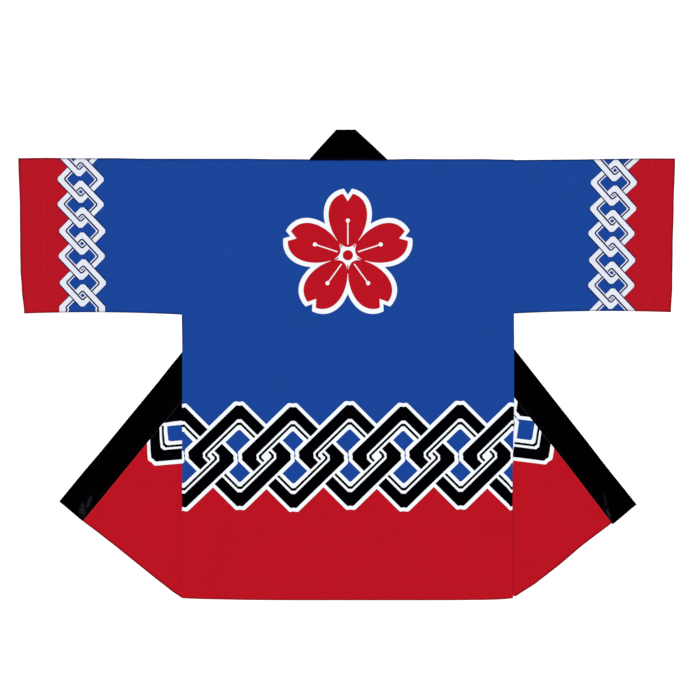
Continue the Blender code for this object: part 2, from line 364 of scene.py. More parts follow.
def uneven(creases: Sequence[Crease], plan: Array) -> Array:
    """The unevenness of cloth that lies by itself: its creases and four slow waves.

    The waves are sines of a turn that grows evenly across and along. Their sum is moved up so that
    it never falls below 0.

    Args:
        creases: the cloth's creases.
        plan: points, x and y first.

    Returns:
        The lift of each point, in metres.
    """
    waves, most = np.zeros(plan.shape[:-1]), 0.0
    for across, along, start, share in WAVES:
        waves += np.sin(across * plan[..., 0] + along * plan[..., 1] + start) * share
        most += share
    return lift_of(creases, plan) + RIPPLE * (waves + most) / (2 * most)


@dataclass(frozen=True)
class Cut:
    """The coat's cut and the way it lies, in metres: the same sizes as its solids.

    Attributes:
        cloth: a layer's thickness.
        collar_wall: the collar's.
        gap: between layers that lie on each other.
        length: from the shoulder line to the hem.
        half_body: half the back's width.
        half_neck: half the neck's.
        neck_drop: how far below the shoulder line the neck's edge lies.
        collar_width: of the finished collar.
        collar_thickening: from its seam to where it is at its thickest.
        hem_rise: how much higher the back's hem is at its corners.
        hem_drop: how much lower it is in the middle.
        hem_rise_start: how far down the rise begins.
        underarm_bow: how far the underarm seam bows up.
        lap: how far the sleeves and the collar reach over the body's edge.
        hem_ease: how far up from a hem its moves reach.
        hem_groove: the depth of the groove along a cuff's stitching.
        seam_gleam: how much painted highlight lightens the cloth beside the seams to the sleeves.
        side_ease: how far in from the side edge its pull reaches.
        shoulder_ease: how far from the shoulder line its sag reaches.
        neck_ease: the same for the collar.
        seam_ease: how far into a front the moves of the collar's seam reach.
        outside_ease: how far outside the body the creases reach their height.
        lifted_at_shoulder: how far out the layers lie on the folded part, at the shoulder.
        lifted_at_side: how far down they begin to, at the side.
        shoulder_slope: how far they take to come down.
        fold_clear: how far past a front's fold the back stays up.
        fold_slope: how far it takes to come down there.
        neck_flat: how far down the neck holds it up.
        neck_slope: how far it takes to come down there.
    """

    cloth: float = 0.0010
    collar_wall: float = 0.0015
    gap: float = 0.0003
    length: float = 0.818
    half_body: float = 0.3078
    half_neck: float = 0.0728
    neck_drop: float = 0.0015
    collar_width: float = 0.055
    collar_thickening: float = 0.004
    hem_rise: float = 0.0046
    hem_drop: float = 0.0007
    hem_rise_start: float = 0.500
    underarm_bow: float = 0.0032
    lap: float = 0.0001
    hem_ease: float = 0.060
    hem_groove: float = 0.0004
    seam_gleam: float = 0.100
    side_ease: float = 0.012
    shoulder_ease: float = 0.050
    neck_ease: float = 0.030
    seam_ease: float = 0.018
    outside_ease: float = 0.020
    lifted_at_shoulder: float = 0.108
    lifted_at_side: float = 0.337
    shoulder_slope: float = 0.025
    fold_clear: float = 0.003
    fold_slope: float = 0.080
    neck_flat: float = 0.015
    neck_slope: float = 0.200

    @property
    def folded_mid(self) -> float:
        """The height of the middle of a layer on the surface."""
        return self.cloth / 2

    @property
    def front_mid(self) -> float:
        """The height of the middle of a front where it lies on its folded part."""
        return 2 * self.collar_wall + self.gap - self.cloth / 2

    @property
    def back_mid(self) -> float:
        """The height of the middle of the back where it lies on a front."""
        return self.front_mid + self.cloth + self.gap

    @property
    def front_radius(self) -> float:
        """The radius of the fronts' folds."""
        return (self.front_mid - self.folded_mid) / 2

    @property
    def edge_radius(self) -> float:
        """The radius of a fold with nothing in it."""
        return (self.cloth + self.gap) / 2

    @property
    def strip_end(self) -> float:
        """From the middle of the neck to the collar strip's end."""
        return self.half_neck + self.length - self.neck_drop

    def outside(self, outward: Array) -> Array:
        """How much of a crease each point shows: 0 under the body, and all of it outside."""
        return soft_step((outward[..., 0] - self.half_body) / self.outside_ease)

    def front_fold(self, half: Half) -> Line:
        """The fold of a front on the +x half, from the neck to the side of the hem."""
        start = self.half_neck - self.collar_width
        return Line(start, half.fold_top, -math.cos(half.fold_angle), -math.sin(half.fold_angle))

    def mitre_fold(self) -> Line:
        """Where the collar strip turns from the neck down a front, on the +x half."""
        return Line(self.half_neck, -self.neck_drop, math.sqrt(0.5), math.sqrt(0.5))

    def collar_fold(self, half: Half) -> Line:
        """The front's fold as it crosses the flat collar strip: its mirror in the mitre.

        Args:
            half: the half of the coat.

        Returns:
            The fold's line on the strip.
        """
        front = self.front_fold(half)
        along = self.half_neck - (front.y + self.neck_drop)
        across = self.half_neck - front.x - self.neck_drop
        return Line(along, across, -front.beyond_y, -front.beyond_x)

    def shoulder_fold(self) -> Line:
        """The edge over which the back wraps down to the fronts."""
        reach = math.pi * self.edge_radius / 2 - self.edge_radius - self.cloth / 2
        return Line(0.0, reach, 0.0, 1.0)

    def shoulder_fall(self, plan: Array) -> Array:
        """How much lower the layers lie beside the armholes than over the folded fronts.

        The line from shoulder to side where the layers leave the folded part is level. Beyond it
        they come down to the surface in a soft step.

        Args:
            plan: points, x and y first.

        Returns:
            The fall of each point, in metres.
        """
        run = self.half_body - self.lifted_at_shoulder
        size = math.hypot(run, self.lifted_at_side)
        line = Line(self.lifted_at_shoulder, 0.0, self.lifted_at_side / size, run / size)
        outward = np.stack([np.abs(plan[..., 0]), plan[..., 1]], axis=-1)
        fall = self.front_mid - self.folded_mid
        return fall * soft_step(line.past(outward) / self.shoulder_slope)

    def back_rise(self, plan: Array) -> Array:
        """How high the back's underside is: on the folded fronts, and down to 0 between them.

        Each fold and the neck hold the back up and let it down in a soft step. What is left of the
        height is the product of what each leaves.

        Args:
            plan: points, x and y first.

        Returns:
            The rise of each point, in metres.
        """
        top = self.back_mid - self.cloth / 2
        low = soft_step((-plan[..., 1] - self.neck_flat) / self.neck_slope)
        for half in HALVES:
            outward = np.stack([plan[..., 0] * half.sign, plan[..., 1]], axis=-1)
            past = self.front_fold(half).past(outward) - self.fold_clear
            low = low * soft_step(past / self.fold_slope)
        return top * (1.0 - low) - self.shoulder_fall(plan)


CUT = Cut()
# The grid's steps over a rounded edge, and over a fold.
EDGE_STEPS = 4
BEND_STEPS = 10


def rounded(radius: float) -> tuple[Array, Array]:
    """The points across an edge that is rounded over, at even angles from its rim.

    An edge's points lie radius * (1 - cos a) in from the rim, where the wall has sin a of its
    thickness.

    Args:
        radius: half the wall, and so the radius of the edge.

    Returns:
        How far in each point lies, and the share of the wall there.
    """
    angles = np.linspace(0.0, math.pi / 2, EDGE_STEPS + 1)
    return radius * (1.0 - np.cos(angles)), np.sin(angles)


def edged(start: float, stop: float, count: int, radius: float) -> tuple[Array, Array]:
    """Places along a strip of cloth whose two ends are rounded over.

    Args:
        start: one end.
        stop: the other end, further on.
        count: how many steps there are between the two rounded edges.
        radius: half the wall, and so the radius of the edges.

    Returns:
        The places, and the share of the wall at each.
    """
    inset, share = rounded(radius)
    middle = np.linspace(start + radius, stop - radius, count + 1)[1:-1]
    places = np.concatenate([start + inset, middle, (stop - inset)[::-1]])
    shares = np.concatenate([share, np.ones(len(middle)), share[::-1]])
    return places, shares


def with_more(
    places: Array, shares: Array, more: Sequence[float] | Array
) -> tuple[Array, Array]:
    """Sorts more places, where the wall has its whole thickness, into those along a strip."""
    places, shares = np.concatenate([places, more]), np.concatenate([shares, np.ones(len(more))])
    return places[np.argsort(places)], shares[np.argsort(places)]


def level(x: Array, y: float) -> Array:
    """Points at one height of the cut, at each place across it."""
    return np.stack([x, np.full(len(x), y)], axis=-1)


@dataclass
class Wall:
    """A closed wall of cloth on a grid: an outer and an inner surface that meet at its edges.

    Attributes:
        name: the piece's name.
        upper: the points of the surface on the side that the flat cut's z points to.
        lower: the points of the other surface.
        cut: where each point is in the flat cut.
        edge: which points the two surfaces share.
        upper_face: which face of the cloth the upper surface is.
        wraps: whether the grid's second direction goes all round.
        mirrored: whether the points were mirrored, so that the faces are turned back.
        marks: more attributes, by name, with a number for each point of the grid.
    """

    name: str
    upper: Array
    lower: Array
    cut: Array
    edge: Array
    upper_face: Face = Face.OUTER
    wraps: bool = False
    mirrored: bool = False
    marks: dict[str, Array] = field(default_factory=dict)

    def build(self) -> bpy.types.Object:
        """Makes the wall's mesh: one four-cornered face for each cell of the grid and side.

        Returns:
            The piece, at the origin, with its flat cut kept for each corner of its faces.
        """
        rows, columns = self.edge.shape
        ids = np.arange(rows * columns).reshape(rows, columns)
        if self.wraps:
            ids[:, -1] = ids[:, 0]
        lower_ids = np.where(self.edge, ids, ids + rows * columns)
        upper_quads, lower_quads = self._cells(ids), self._cells(lower_ids)[:, ::-1]
        cuts = [self._cells(self.cut[..., k]) for k in range(2)]
        upper_cut = np.stack([*cuts, np.full(upper_quads.shape, self.upper_face.value)], axis=-1)
        lower_cut = upper_cut[:, ::-1] * [1.0, 1.0, -1.0]
        quads = np.concatenate([upper_quads, lower_quads])
        corners = np.concatenate([upper_cut, lower_cut])
        if self.mirrored:
            quads, corners = quads[:, ::-1], corners[:, ::-1]
        points = np.concatenate([self.upper.reshape(-1, 3), self.lower.reshape(-1, 3)])
        used, quads = np.unique(quads, return_inverse=True)
        made = mesh_object(self.name, points[used], quads.reshape(-1, 4))
        layer = made.data.attributes.new("cut", "FLOAT_VECTOR", "CORNER")
        layer.data.foreach_set("vector", corners.astype(np.float32).ravel())
        for mark, values in self.marks.items():
            both = np.concatenate([values.ravel(), values.ravel()])[used]
            layer = made.data.attributes.new(mark, "FLOAT", "POINT")
            layer.data.foreach_set("value", both.astype(np.float32))
        return made

    @staticmethod
    def _cells(values: Array) -> Array:
        """The four values at the corners of each cell of a grid, in order round it."""
        around = (values[:-1, :-1], values[1:, :-1], values[1:, 1:], values[:-1, 1:])
        return np.stack(around, axis=-1).reshape(-1, 4)


def mesh_object(name: str, points: Array, faces: Array) -> bpy.types.Object:
    """Puts points and faces into a new smooth object at the origin.

    Args:
        name: the piece's name.
        points: one row for each point, in metres.
        faces: one row of point numbers for each face.

    Returns:
        The object, linked to the scene.
    """
    mesh = bpy.data.meshes.new(name)
    mesh.from_pydata(points.tolist(), [], faces.tolist())
    mesh.shade_smooth()
    mesh.update()
    made = bpy.data.objects.new(name, mesh)
    bpy.context.scene.collection.objects.link(made)
    return made


class Signal:
    """A number that a material works out at each point; arithmetic on it adds maths nodes."""

    def __init__(self, tree: bpy.types.NodeTree, socket: bpy.types.NodeSocket) -> None:
        """Keeps the tree that the nodes go into and the socket that gives the number."""
        self.tree = tree
        self.socket = socket

    def maths(self, operation: str, *others: "Signal | float") -> "Signal":
        """Adds one maths node.

        Args:
            operation: the node's operation.
            others: its second and third inputs.

        Returns:
            The node's result.
        """
        node = self.tree.nodes.new("ShaderNodeMath")
        node.operation = operation
        for place, value in enumerate((self, *others)):
            if isinstance(value, Signal):
                self.tree.links.new(value.socket, node.inputs[place])
            else:
                node.inputs[place].default_value = value
        return Signal(self.tree, node.outputs[0])

    def __add__(self, other: "Signal | float") -> "Signal":
        """The sum."""
        return self.maths("ADD", other)

    def __sub__(self, other: "Signal | float") -> "Signal":
        """The difference."""
        return self.maths("SUBTRACT", other)

    def __mul__(self, other: "Signal | float") -> "Signal":
        """The product."""
        return self.maths("MULTIPLY", other)

    def __truediv__(self, other: "Signal | float") -> "Signal":
        """The quotient."""
        return self.maths("DIVIDE", other)

    def __neg__(self) -> "Signal":
        """The number with its sign turned."""
        return self.maths("MULTIPLY", -1.0)

    def size(self) -> "Signal":
        """The number without its sign."""
        return self.maths("ABSOLUTE")

    def sine(self) -> "Signal":
        """The sine."""
        return self.maths("SINE")

    def least(self, other: "Signal | float") -> "Signal":
        """The smaller of two numbers."""
        return self.maths("MINIMUM", other)

    def most(self, other: "Signal | float") -> "Signal":
        """The larger of two numbers."""
        return self.maths("MAXIMUM", other)

    def least_rounded(self, other: "Signal | float", radius: float) -> "Signal":
        """The smaller of two numbers, with the corner between them rounded."""
        return self.maths("SMOOTH_MIN", other, radius)

    def within(self, period: float) -> "Signal":
        """What is left of the number after whole periods, from 0 up to the period."""
        return self.maths("FLOORED_MODULO", period)

    def above(self, limit: "Signal | float") -> "Signal":
        """1 where the number is above the limit, and 0 elsewhere."""
        return self.maths("GREATER_THAN", limit)

    def below(self, limit: "Signal | float") -> "Signal":
        """1 where the number is below the limit, and 0 elsewhere."""
        return self.maths("LESS_THAN", limit)

    def chosen(self, yes: "Signal", no: "Signal") -> "Signal":
        """One number where this signal is 1, and another where it is 0."""
        return (yes - no) * self + no

    def length_with(self, other: "Signal") -> "Signal":
        """The length of the vector that this number and another make."""
        return (self * self + other * other).maths("SQRT")


class Dye(Enum):
    """The coat's colours, linear."""

    BLUE = (0.0102, 0.0555, 0.2930)
    RED = (0.4600, 0.0066, 0.0156)
    CUFF_RED = (0.4350, 0.0078, 0.0172)
    BLACK = (0.0003, 0.0002, 0.0010)
    WHITE = (0.8450, 0.8850, 0.9150)
    SLEEVE_WHITE = (0.7270, 0.7550, 0.8450)
    OUTLINE = (0.0020, 0.0040, 0.0480)
    COLLAR = (0.0001, 0.0001, 0.0005)
    SEAM = (0.0080, 0.0030, 0.0060)
    # Painted sheen: the grey that light glancing off the collar's crease crests would give.
    WORN = (0.0230, 0.0230, 0.0330)
    UNPRINTED = (0.4200, 0.4300, 0.4700)


Ink = Dye | bpy.types.NodeSocket


class Shade:
    """A material under construction: its nodes, its surface shader and the cloth's flat cut."""

    def __init__(self, name: str) -> None:
        """Starts a material with a plain surface shader.

        Args:
            name: the material's name.
        """
        self.material = bpy.data.materials.new(name)
        self.material.use_nodes = True
        self.tree = self.material.node_tree
        self.surface = self.tree.nodes["Principled BSDF"]

    def node(self, kind: str) -> bpy.types.Node:
        """Adds a node of this kind."""
        return self.tree.nodes.new(kind)

    def cut(self) -> tuple[Signal, Signal, Signal]:
        """Reads the place in the flat cut.

        Returns:
            The place across and along, and which face of the cloth this is.
        """
        attribute, parts = self.node("ShaderNodeAttribute"), self.node("ShaderNodeSeparateXYZ")
        attribute.attribute_name = "cut"
        self.tree.links.new(attribute.outputs["Vector"], parts.inputs[0])
        across, along, face = (Signal(self.tree, socket) for socket in parts.outputs)
        return across, along, face

    def mark(self, name: str) -> Signal:
        """Reads a number that a mesh keeps at its points.

        Args:
            name: the attribute's name.

        Returns:
            The number, 0 where the mesh has none.
        """
        attribute = self.node("ShaderNodeAttribute")
        attribute.attribute_name = name
        return Signal(self.tree, attribute.outputs["Fac"])

    def noise(self, x: Signal, y: Signal, detail: float, seed: float) -> Signal:
        """Smooth noise from 0 to 1 in a plane, one lump for each unit of x and of y.

        Args:
            x: the first coordinate, already scaled.
            y: the second coordinate, already scaled.
            detail: how many finer layers it has.
            seed: where in the noise the plane lies.

        Returns:
            The noise.
        """
        place, made = self.node("ShaderNodeCombineXYZ"), self.node("ShaderNodeTexNoise")
        self.tree.links.new(x.socket, place.inputs[0])
        self.tree.links.new(y.socket, place.inputs[1])
        place.inputs[2].default_value = seed
        self.tree.links.new(place.outputs[0], made.inputs["Vector"])
        made.inputs["Scale"].default_value = 1.0
        made.inputs["Detail"].default_value = detail
        return Signal(self.tree, made.outputs["Fac"])

    def feed(self, ink: Ink, place: bpy.types.NodeSocket) -> None:
        """Sets a dye as an input's own value, or links a colour to it.

        Args:
            ink: the dye or the colour.
            place: the input.
        """
        if isinstance(ink, Dye):
            place.default_value = ink.value if place.type == "VECTOR" else (*ink.value, 1.0)
        else:
            self.tree.links.new(ink, place)

    def over(self, share: Signal, under: Ink, upper: Ink) -> bpy.types.NodeSocket:
        """Lays one colour over another.

        Args:
            share: how much of the upper colour shows, from 0 to 1.
            under: the colour below.
            upper: the colour above.

        Returns:
            The mixed colour.
        """
        node = self.node("ShaderNodeMix")
        node.data_type = "RGBA"
        self.tree.links.new(share.socket, node.inputs[0])
        self.feed(under, node.inputs[6])
        self.feed(upper, node.inputs[7])
        return node.outputs[2]

    def scaled(self, colour: Ink, factor: Signal) -> bpy.types.NodeSocket:
        """Makes a colour lighter or darker.

        Args:
            colour: the colour.
            factor: by how much, at each point.

        Returns:
            The new colour.
        """
        node = self.node("ShaderNodeVectorMath")
        node.operation = "SCALE"
        self.feed(colour, node.inputs[0])
        self.tree.links.new(factor.socket, node.inputs["Scale"])
        return node.outputs[0]


@dataclass(frozen=True)
class Cotton:
    """Plain-woven cotton: its threads, its slubs and how it takes the light.

    Attributes:
        thread: from one thread to the next.
        relief: how far the threads stand out.
        roughness: of the fibres.
        gloss: how much light the fibres mirror.
        painted_rim_shade: how much painted shade darkens the colour at the cloth's rolled rims.
        mottle: how many lumps of uneven dye there are in a metre.
        weft: how many slubs the weft has in a metre, across and along.
        warp: the same for the warp.
        mottle_tone: how much the uneven dye changes the colour.
        slub_tone: how much the slubs change it.
        slub_rough: how much they change the roughness.
        slub_relief: how much they add to the weave.
        weave_relief: how much the threads themselves add.
        unprinted: how much of the inner face the print doesn't reach.
    """

    thread: float = 0.00062
    relief: float = 0.00009
    roughness: float = 0.88
    gloss: float = 0.006
    painted_rim_shade: float = 0.90
    mottle: float = 14.0
    weft: tuple[float, float] = (45.0, 900.0)
    warp: tuple[float, float] = (1100.0, 40.0)
    mottle_tone: float = 0.10
    slub_tone: float = 0.16
    slub_rough: float = 0.12
    slub_relief: float = 0.8
    weave_relief: float = 0.5
    unprinted: float = 0.38

    def dress(self, shade: Shade, colour: Ink, x: Signal, y: Signal) -> None:
        """Gives a surface its colour, its slight unevenness of dye, its painted shade and highlights,
        and its weave.

        The weave is the product of two sines, one along each thread direction. Slubs are noise
        drawn out along the threads. Noise has its mean at 0.5, so the sum of two has it at 1.

        Args:
            shade: the material.
            colour: the printed colour.
            x: the place across the cut.
            y: the place along the cut.
        """
        mottle = shade.noise(x * self.mottle, y * self.mottle, detail=3.0, seed=0.0)
        weft = shade.noise(x * self.weft[0], y * self.weft[1], detail=2.0, seed=3.0)
        warp = shade.noise(x * self.warp[0], y * self.warp[1], detail=2.0, seed=7.0)
        threads = weft + warp
        # Painted shade darkens the colour near the rolled rims; painted highlights lighten it beside
        # the seams and the cuff's stitching.
        painted_shade_nearness = shade.mark("rim").most(0.0)
        tone = (mottle - 0.5) * self.mottle_tone + (threads - 1.0) * self.slub_tone + 1.0
        tone = tone - painted_shade_nearness * painted_shade_nearness * self.painted_rim_shade + shade.mark("gleam").most(0.0)
        shade.tree.links.new(shade.scaled(colour, tone), shade.surface.inputs["Base Color"])
        pitch = math.tau / self.thread
        weave = (x * pitch).sine() * (y * pitch).sine() * self.weave_relief
        weave = weave + threads * self.slub_relief
        bump = shade.node("ShaderNodeBump")
        bump.inputs["Strength"].default_value = 0.6
        bump.inputs["Distance"].default_value = self.relief
        shade.tree.links.new(weave.socket, bump.inputs["Height"])
        shade.tree.links.new(bump.outputs[0], shade.surface.inputs["Normal"])
        rough = (threads - 1.0) * self.slub_rough + self.roughness
        shade.tree.links.new(rough.socket, shade.surface.inputs["Roughness"])
        shade.surface.inputs["Specular IOR Level"].default_value = self.gloss

    def inner(self, shade: Shade, colour: Ink, face: Signal) -> bpy.types.NodeSocket:
        """Pales the colour on the cloth's inner face, where the print only shows through."""
        return shade.over(face.below(0.0) * self.unprinted, colour, Dye.UNPRINTED)


@dataclass(frozen=True)
class Ring:
    """One line of a link's print: the boundary that it begins at, from the link's middle.

    Attributes:
        rising: how far the boundary is from the middle on the sides that rise along the band.
        falling: the same on the sides that fall.
        corner: how far it reaches at the corners beside the band.
        tip: how far it reaches at the corners that point along the band.
        dark: whether the line is dark.
    """

    rising: float
    falling: float
    corner: float
    tip: float
    dark: bool


@dataclass(frozen=True)
class Side:
    """Where a point is on the sides of the nearest link that rise, or that fall.

    Attributes:
        rises: whether these are the rising sides.
        away: how far it is along the band from the link's middle.
        aside: how far it is across the band.
        distance: how far it is square to the side.
        dip: how deep the notch in the middle of a corner is there.
    """

    rises: bool
    away: Signal
    aside: Signal
    distance: Signal
    dip: Signal


@dataclass(frozen=True)
class Links:
    """A band of square links that stand on their corners and pass through their neighbours.

    The middles lie along s in pairs. A boundary is the square that lies at a distance from the
    middle, with its corners cut off square to the band and notched. Sides that rise lie over sides
    that fall, with a light line between them.

    Attributes:
        pair: from a link to the second next.
        near: from the first link of a pair to the second.
        second_t: how far across the band the second link's middle lies from the first's.
        angle: the rising sides' angle with the band; the falling sides' is 45 degrees.
        rings: the boundaries of its print, from outside in; the last bounds the hole.
        rounding: the radius of the corners.
        notch: the depth of the notches.
        notch_reach: half their width.
        under: how much narrower the light line is where it crosses a side.
        light: the dye of the light lines.
        dark: the dye of the dark lines.
    """

    pair: float
    near: float
    second_t: float
    angle: float
    rings: tuple[Ring, ...]
    rounding: float
    notch: float
    notch_reach: float
    under: float
    light: Dye
    dark: Dye

    def paint(
        self, shade: Shade, s: Signal, t: Signal, ground: Ink, hole: Ink
    ) -> bpy.types.NodeSocket:
        """Prints the band over a ground.

        Args:
            shade: the material.
            s: the place along the band, 0 at the middle of a pair's first link.
            t: the place across it, 0 on the first links' middles.
            ground: the colours on both sides of the band.
            hole: the colour inside the links.

        Returns:
            The printed colours.
        """
        start = self.near - self.pair / 2
        place = (s - start).within(self.pair) + start
        second = place.above(self.pair / 2)
        left = (second * self.near - place).size()
        right = (second * (self.pair - self.near) + self.near - place).size()
        left_aside = (t - second * self.second_t).size()
        right_aside = (t + second * self.second_t - self.second_t).size()
        upper = t.above(self.second_t / 2)
        rising = self._side(upper.chosen(right, left), upper.chosen(right_aside, left_aside), True)
        falling = self._side(upper.chosen(left, right), upper.chosen(left_aside, right_aside), False)
        last = len(self.rings) - 1
        open_part = self._inside(rising, last).most(self._inside(falling, last))
        light = self._between(rising, 0, last).most(self._between(falling, 0, last))
        outer, inner = self._inside(rising, 0, self.under), self._inside(rising, last, -self.under)
        bare = outer * -1.0 + outer * inner + 1.0
        dark = self._dark(rising).most(self._dark(falling) * bare)
        colour = shade.over(open_part, ground, hole)
        colour = shade.over(light, colour, self.light)
        return shade.over(dark, colour, self.dark)

    def _side(self, away: Signal, aside: Signal, rises: bool) -> Side:
        """Works out where a point is on a link's rising or falling sides.

        Args:
            away: how far it is along the band from the link's middle.
            aside: how far it is across the band.
            rises: whether the sides rise.

        Returns:
            Its place on them.
        """
        angle = self.angle if rises else math.pi / 4
        distance = away * math.sin(angle) + aside * math.cos(angle)
        dip = (away.least(aside) * (-1.0 / self.notch_reach) + 1.0).most(0.0) * self.notch
        return Side(rises, away, aside, distance, dip)

    def _inside(self, side: Side, index: int, less: float = 0.0) -> Signal:
        """Tells what lies inside a boundary.

        Args:
            side: the place on the link's sides.
            index: which boundary.
            less: how far inward it is moved.

        Returns:
            1 inside, and 0 outside.
        """
        ring = self.rings[index]
        reach = (ring.rising if side.rises else ring.falling) - less
        corner = (-side.aside + (ring.corner - less)).least(-side.away + (ring.tip - less))
        return (-side.distance + reach).least_rounded(corner - side.dip, self.rounding).above(0.0)

    def _dark(self, side: Side) -> Signal:
        """Tells what lies on the dark lines.

        Args:
            side: the place on the link's sides.

        Returns:
            1 on them, and 0 elsewhere.
        """
        dark = [i for i, ring in enumerate(self.rings) if ring.dark]
        total = self._between(side, dark[0], dark[0] + 1)
        for index in dark[1:]:
            total = total + self._between(side, index, index + 1)
        return total

    def _between(self, side: Side, outer: int, inner: int) -> Signal:
        """1 inside one boundary and outside another."""
        inside = self._inside(side, outer)
        return inside - inside * self._inside(side, inner)


BODY_LINKS = Links(
    pair=0.2045,
    near=0.0991,
    second_t=-0.0034,
    angle=math.radians(44.0),
    rings=(
        Ring(0.0787, 0.0762, 0.1006, 0.1018, False),
        Ring(0.0714, 0.0699, 0.0938, 0.0950, True),
        Ring(0.0510, 0.0503, 0.0682, 0.0681, False),
        Ring(0.0471, 0.0460, 0.0625, 0.0645, True),
        Ring(0.0429, 0.0417, 0.0575, 0.0596, False),
        Ring(0.0363, 0.0350, 0.0491, 0.0495, False),
    ),
    rounding=0.002,
    notch=0.0009,
    notch_reach=0.0045,
    under=0.0026,
    light=Dye.WHITE,
    dark=Dye.BLACK,
)
SLEEVE_LINKS = Links(
    pair=0.0961,
    near=0.04655,
    second_t=-0.0017,
    angle=math.radians(42.6),
    rings=(
        Ring(0.0351, 0.0329, 0.0428, 0.0441, True),
        Ring(0.0330, 0.0321, 0.0423, 0.0436, False),
        Ring(0.0239, 0.0236, 0.0309, 0.0320, True),
        Ring(0.0210, 0.0209, 0.0283, 0.0295, False),
        Ring(0.0193, 0.0190, 0.0251, 0.0273, False),
    ),
    rounding=0.0008,
    notch=0.0,
    notch_reach=0.001,
    under=0.0009,
    light=Dye.SLEEVE_WHITE,
    dark=Dye.OUTLINE,
)


@dataclass(frozen=True)
class Blossom:
    """A five-petalled blossom, red with a white outline, for the middle of the back.

    Attributes:
        y: its middle, below the shoulder line.
        petal: the middle of each petal, from the blossom's middle.
        long: half a petal's length.
        wide: half a petal's width.
        notch: how far from the middle the notch in a petal's tip ends.
        outline: the width of the white round it.
        flare: how much wider a petal is towards its tip.
        notch_slope: how steep the notch's sides are.
        notch_outline: how much wider the outline is at the notch.
        disc: the radius of the white behind the petals' roots.
        line: half the width of the fine lines.
        vein: where a petal's vein begins and ends.
        gap: where the line between two petals begins and ends.
        anther: where the dot at a vein's end lies, and its radius.
        eye: the radii of the white dot and of the red one in the middle.
    """

    y: float = -0.1790
    petal: float = 0.0650
    long: float = 0.0500
    wide: float = 0.0350
    notch: float = 0.1000
    outline: float = 0.0085
    flare: float = 0.22
    notch_slope: float = 1.5
    notch_outline: float = 1.4
    disc: float = 0.045
    line: float = 0.0011
    vein: tuple[float, float] = (0.020, 0.060)
    gap: tuple[float, float] = (0.018, 0.034)
    anther: tuple[float, float] = (0.064, 0.0038)
    eye: tuple[float, float] = (0.0150, 0.0095)

    def paint(self, shade: Shade, x: Signal, y: Signal, ground: Ink) -> bpy.types.NodeSocket:
        """Prints the blossom over a ground.

        The angle round the middle is folded into one petal's. Each petal is an ellipse, wider
        towards its tip, without a notch. The outline is the same with all its sizes larger.

        Args:
            shade: the material.
            x: the place across the cut.
            y: the place along the cut.
            ground: the colour of the back.

        Returns:
            The printed colours.
        """
        up = y - self.y
        radius = x.length_with(up)
        fifth = math.tau / 5
        angle = (x.maths("ARCTAN2", up) + math.tau + fifth / 2).within(fifth) - fifth / 2
        along, side = radius * angle.maths("COSINE"), (radius * angle.sine()).size()
        white = self._petal(along, side, self.outline).most(radius.below(self.disc))
        red = self._petal(along, side, 0.0)
        colour = shade.over(white, ground, Dye.WHITE)
        colour = shade.over(red, colour, Dye.RED)
        vein = side.below(self.line) * along.above(self.vein[0]) * along.below(self.vein[1])
        from_gap = (angle.size() * -1.0 + fifth / 2).sine() * radius
        thin = from_gap.size().below(self.line)
        thin = thin * radius.above(self.gap[0]) * radius.below(self.gap[1])
        anther = (along - self.anther[0]).length_with(side).below(self.anther[1])
        colour = shade.over(vein.most(anther), colour, Dye.WHITE)
        colour = shade.over(thin, colour, Dye.RED)
        colour = shade.over(radius.below(self.eye[0]), colour, Dye.WHITE)
        return shade.over(radius.below(self.eye[1]), colour, Dye.RED)

    def _petal(self, along: Signal, side: Signal, more: float) -> Signal:
        """Tells what lies inside a petal.

        Args:
            along: how far out along the petal the point is.
            side: how far it is from the petal's middle line.
            more: how much larger the petal is taken.

        Returns:
            1 inside, and 0 outside.
        """
        away = (along - self.petal) / (self.long + more)
        width = away * self.flare * (self.wide + more) + (self.wide + more)
        inside = away.length_with(side / width).below(1.0)
        tip = self.notch + more * self.notch_outline
        return inside * (along - side * self.notch_slope).below(tip)


@dataclass(frozen=True)
class Finish:
    """A finish for one kind of panel: a name and the cotton under its print."""

    name: str
    cotton: Cotton = field(default_factory=Cotton)

    def material(self) -> bpy.types.Material:
        """Builds the material: print, paler inner face, cotton.

        Returns:
            The finished material.
        """
        shade = Shade(self.name)
        x, y, face = shade.cut()
        colour = self.cotton.inner(shade, self.print(shade, x, y), face)
        self.cotton.dress(shade, colour, x, y)
        return shade.material

    def print(self, shade: Shade, x: Signal, y: Signal) -> Ink:
        """The colours of the print; a plain finish has only the collar's black."""
        return Dye.COLLAR


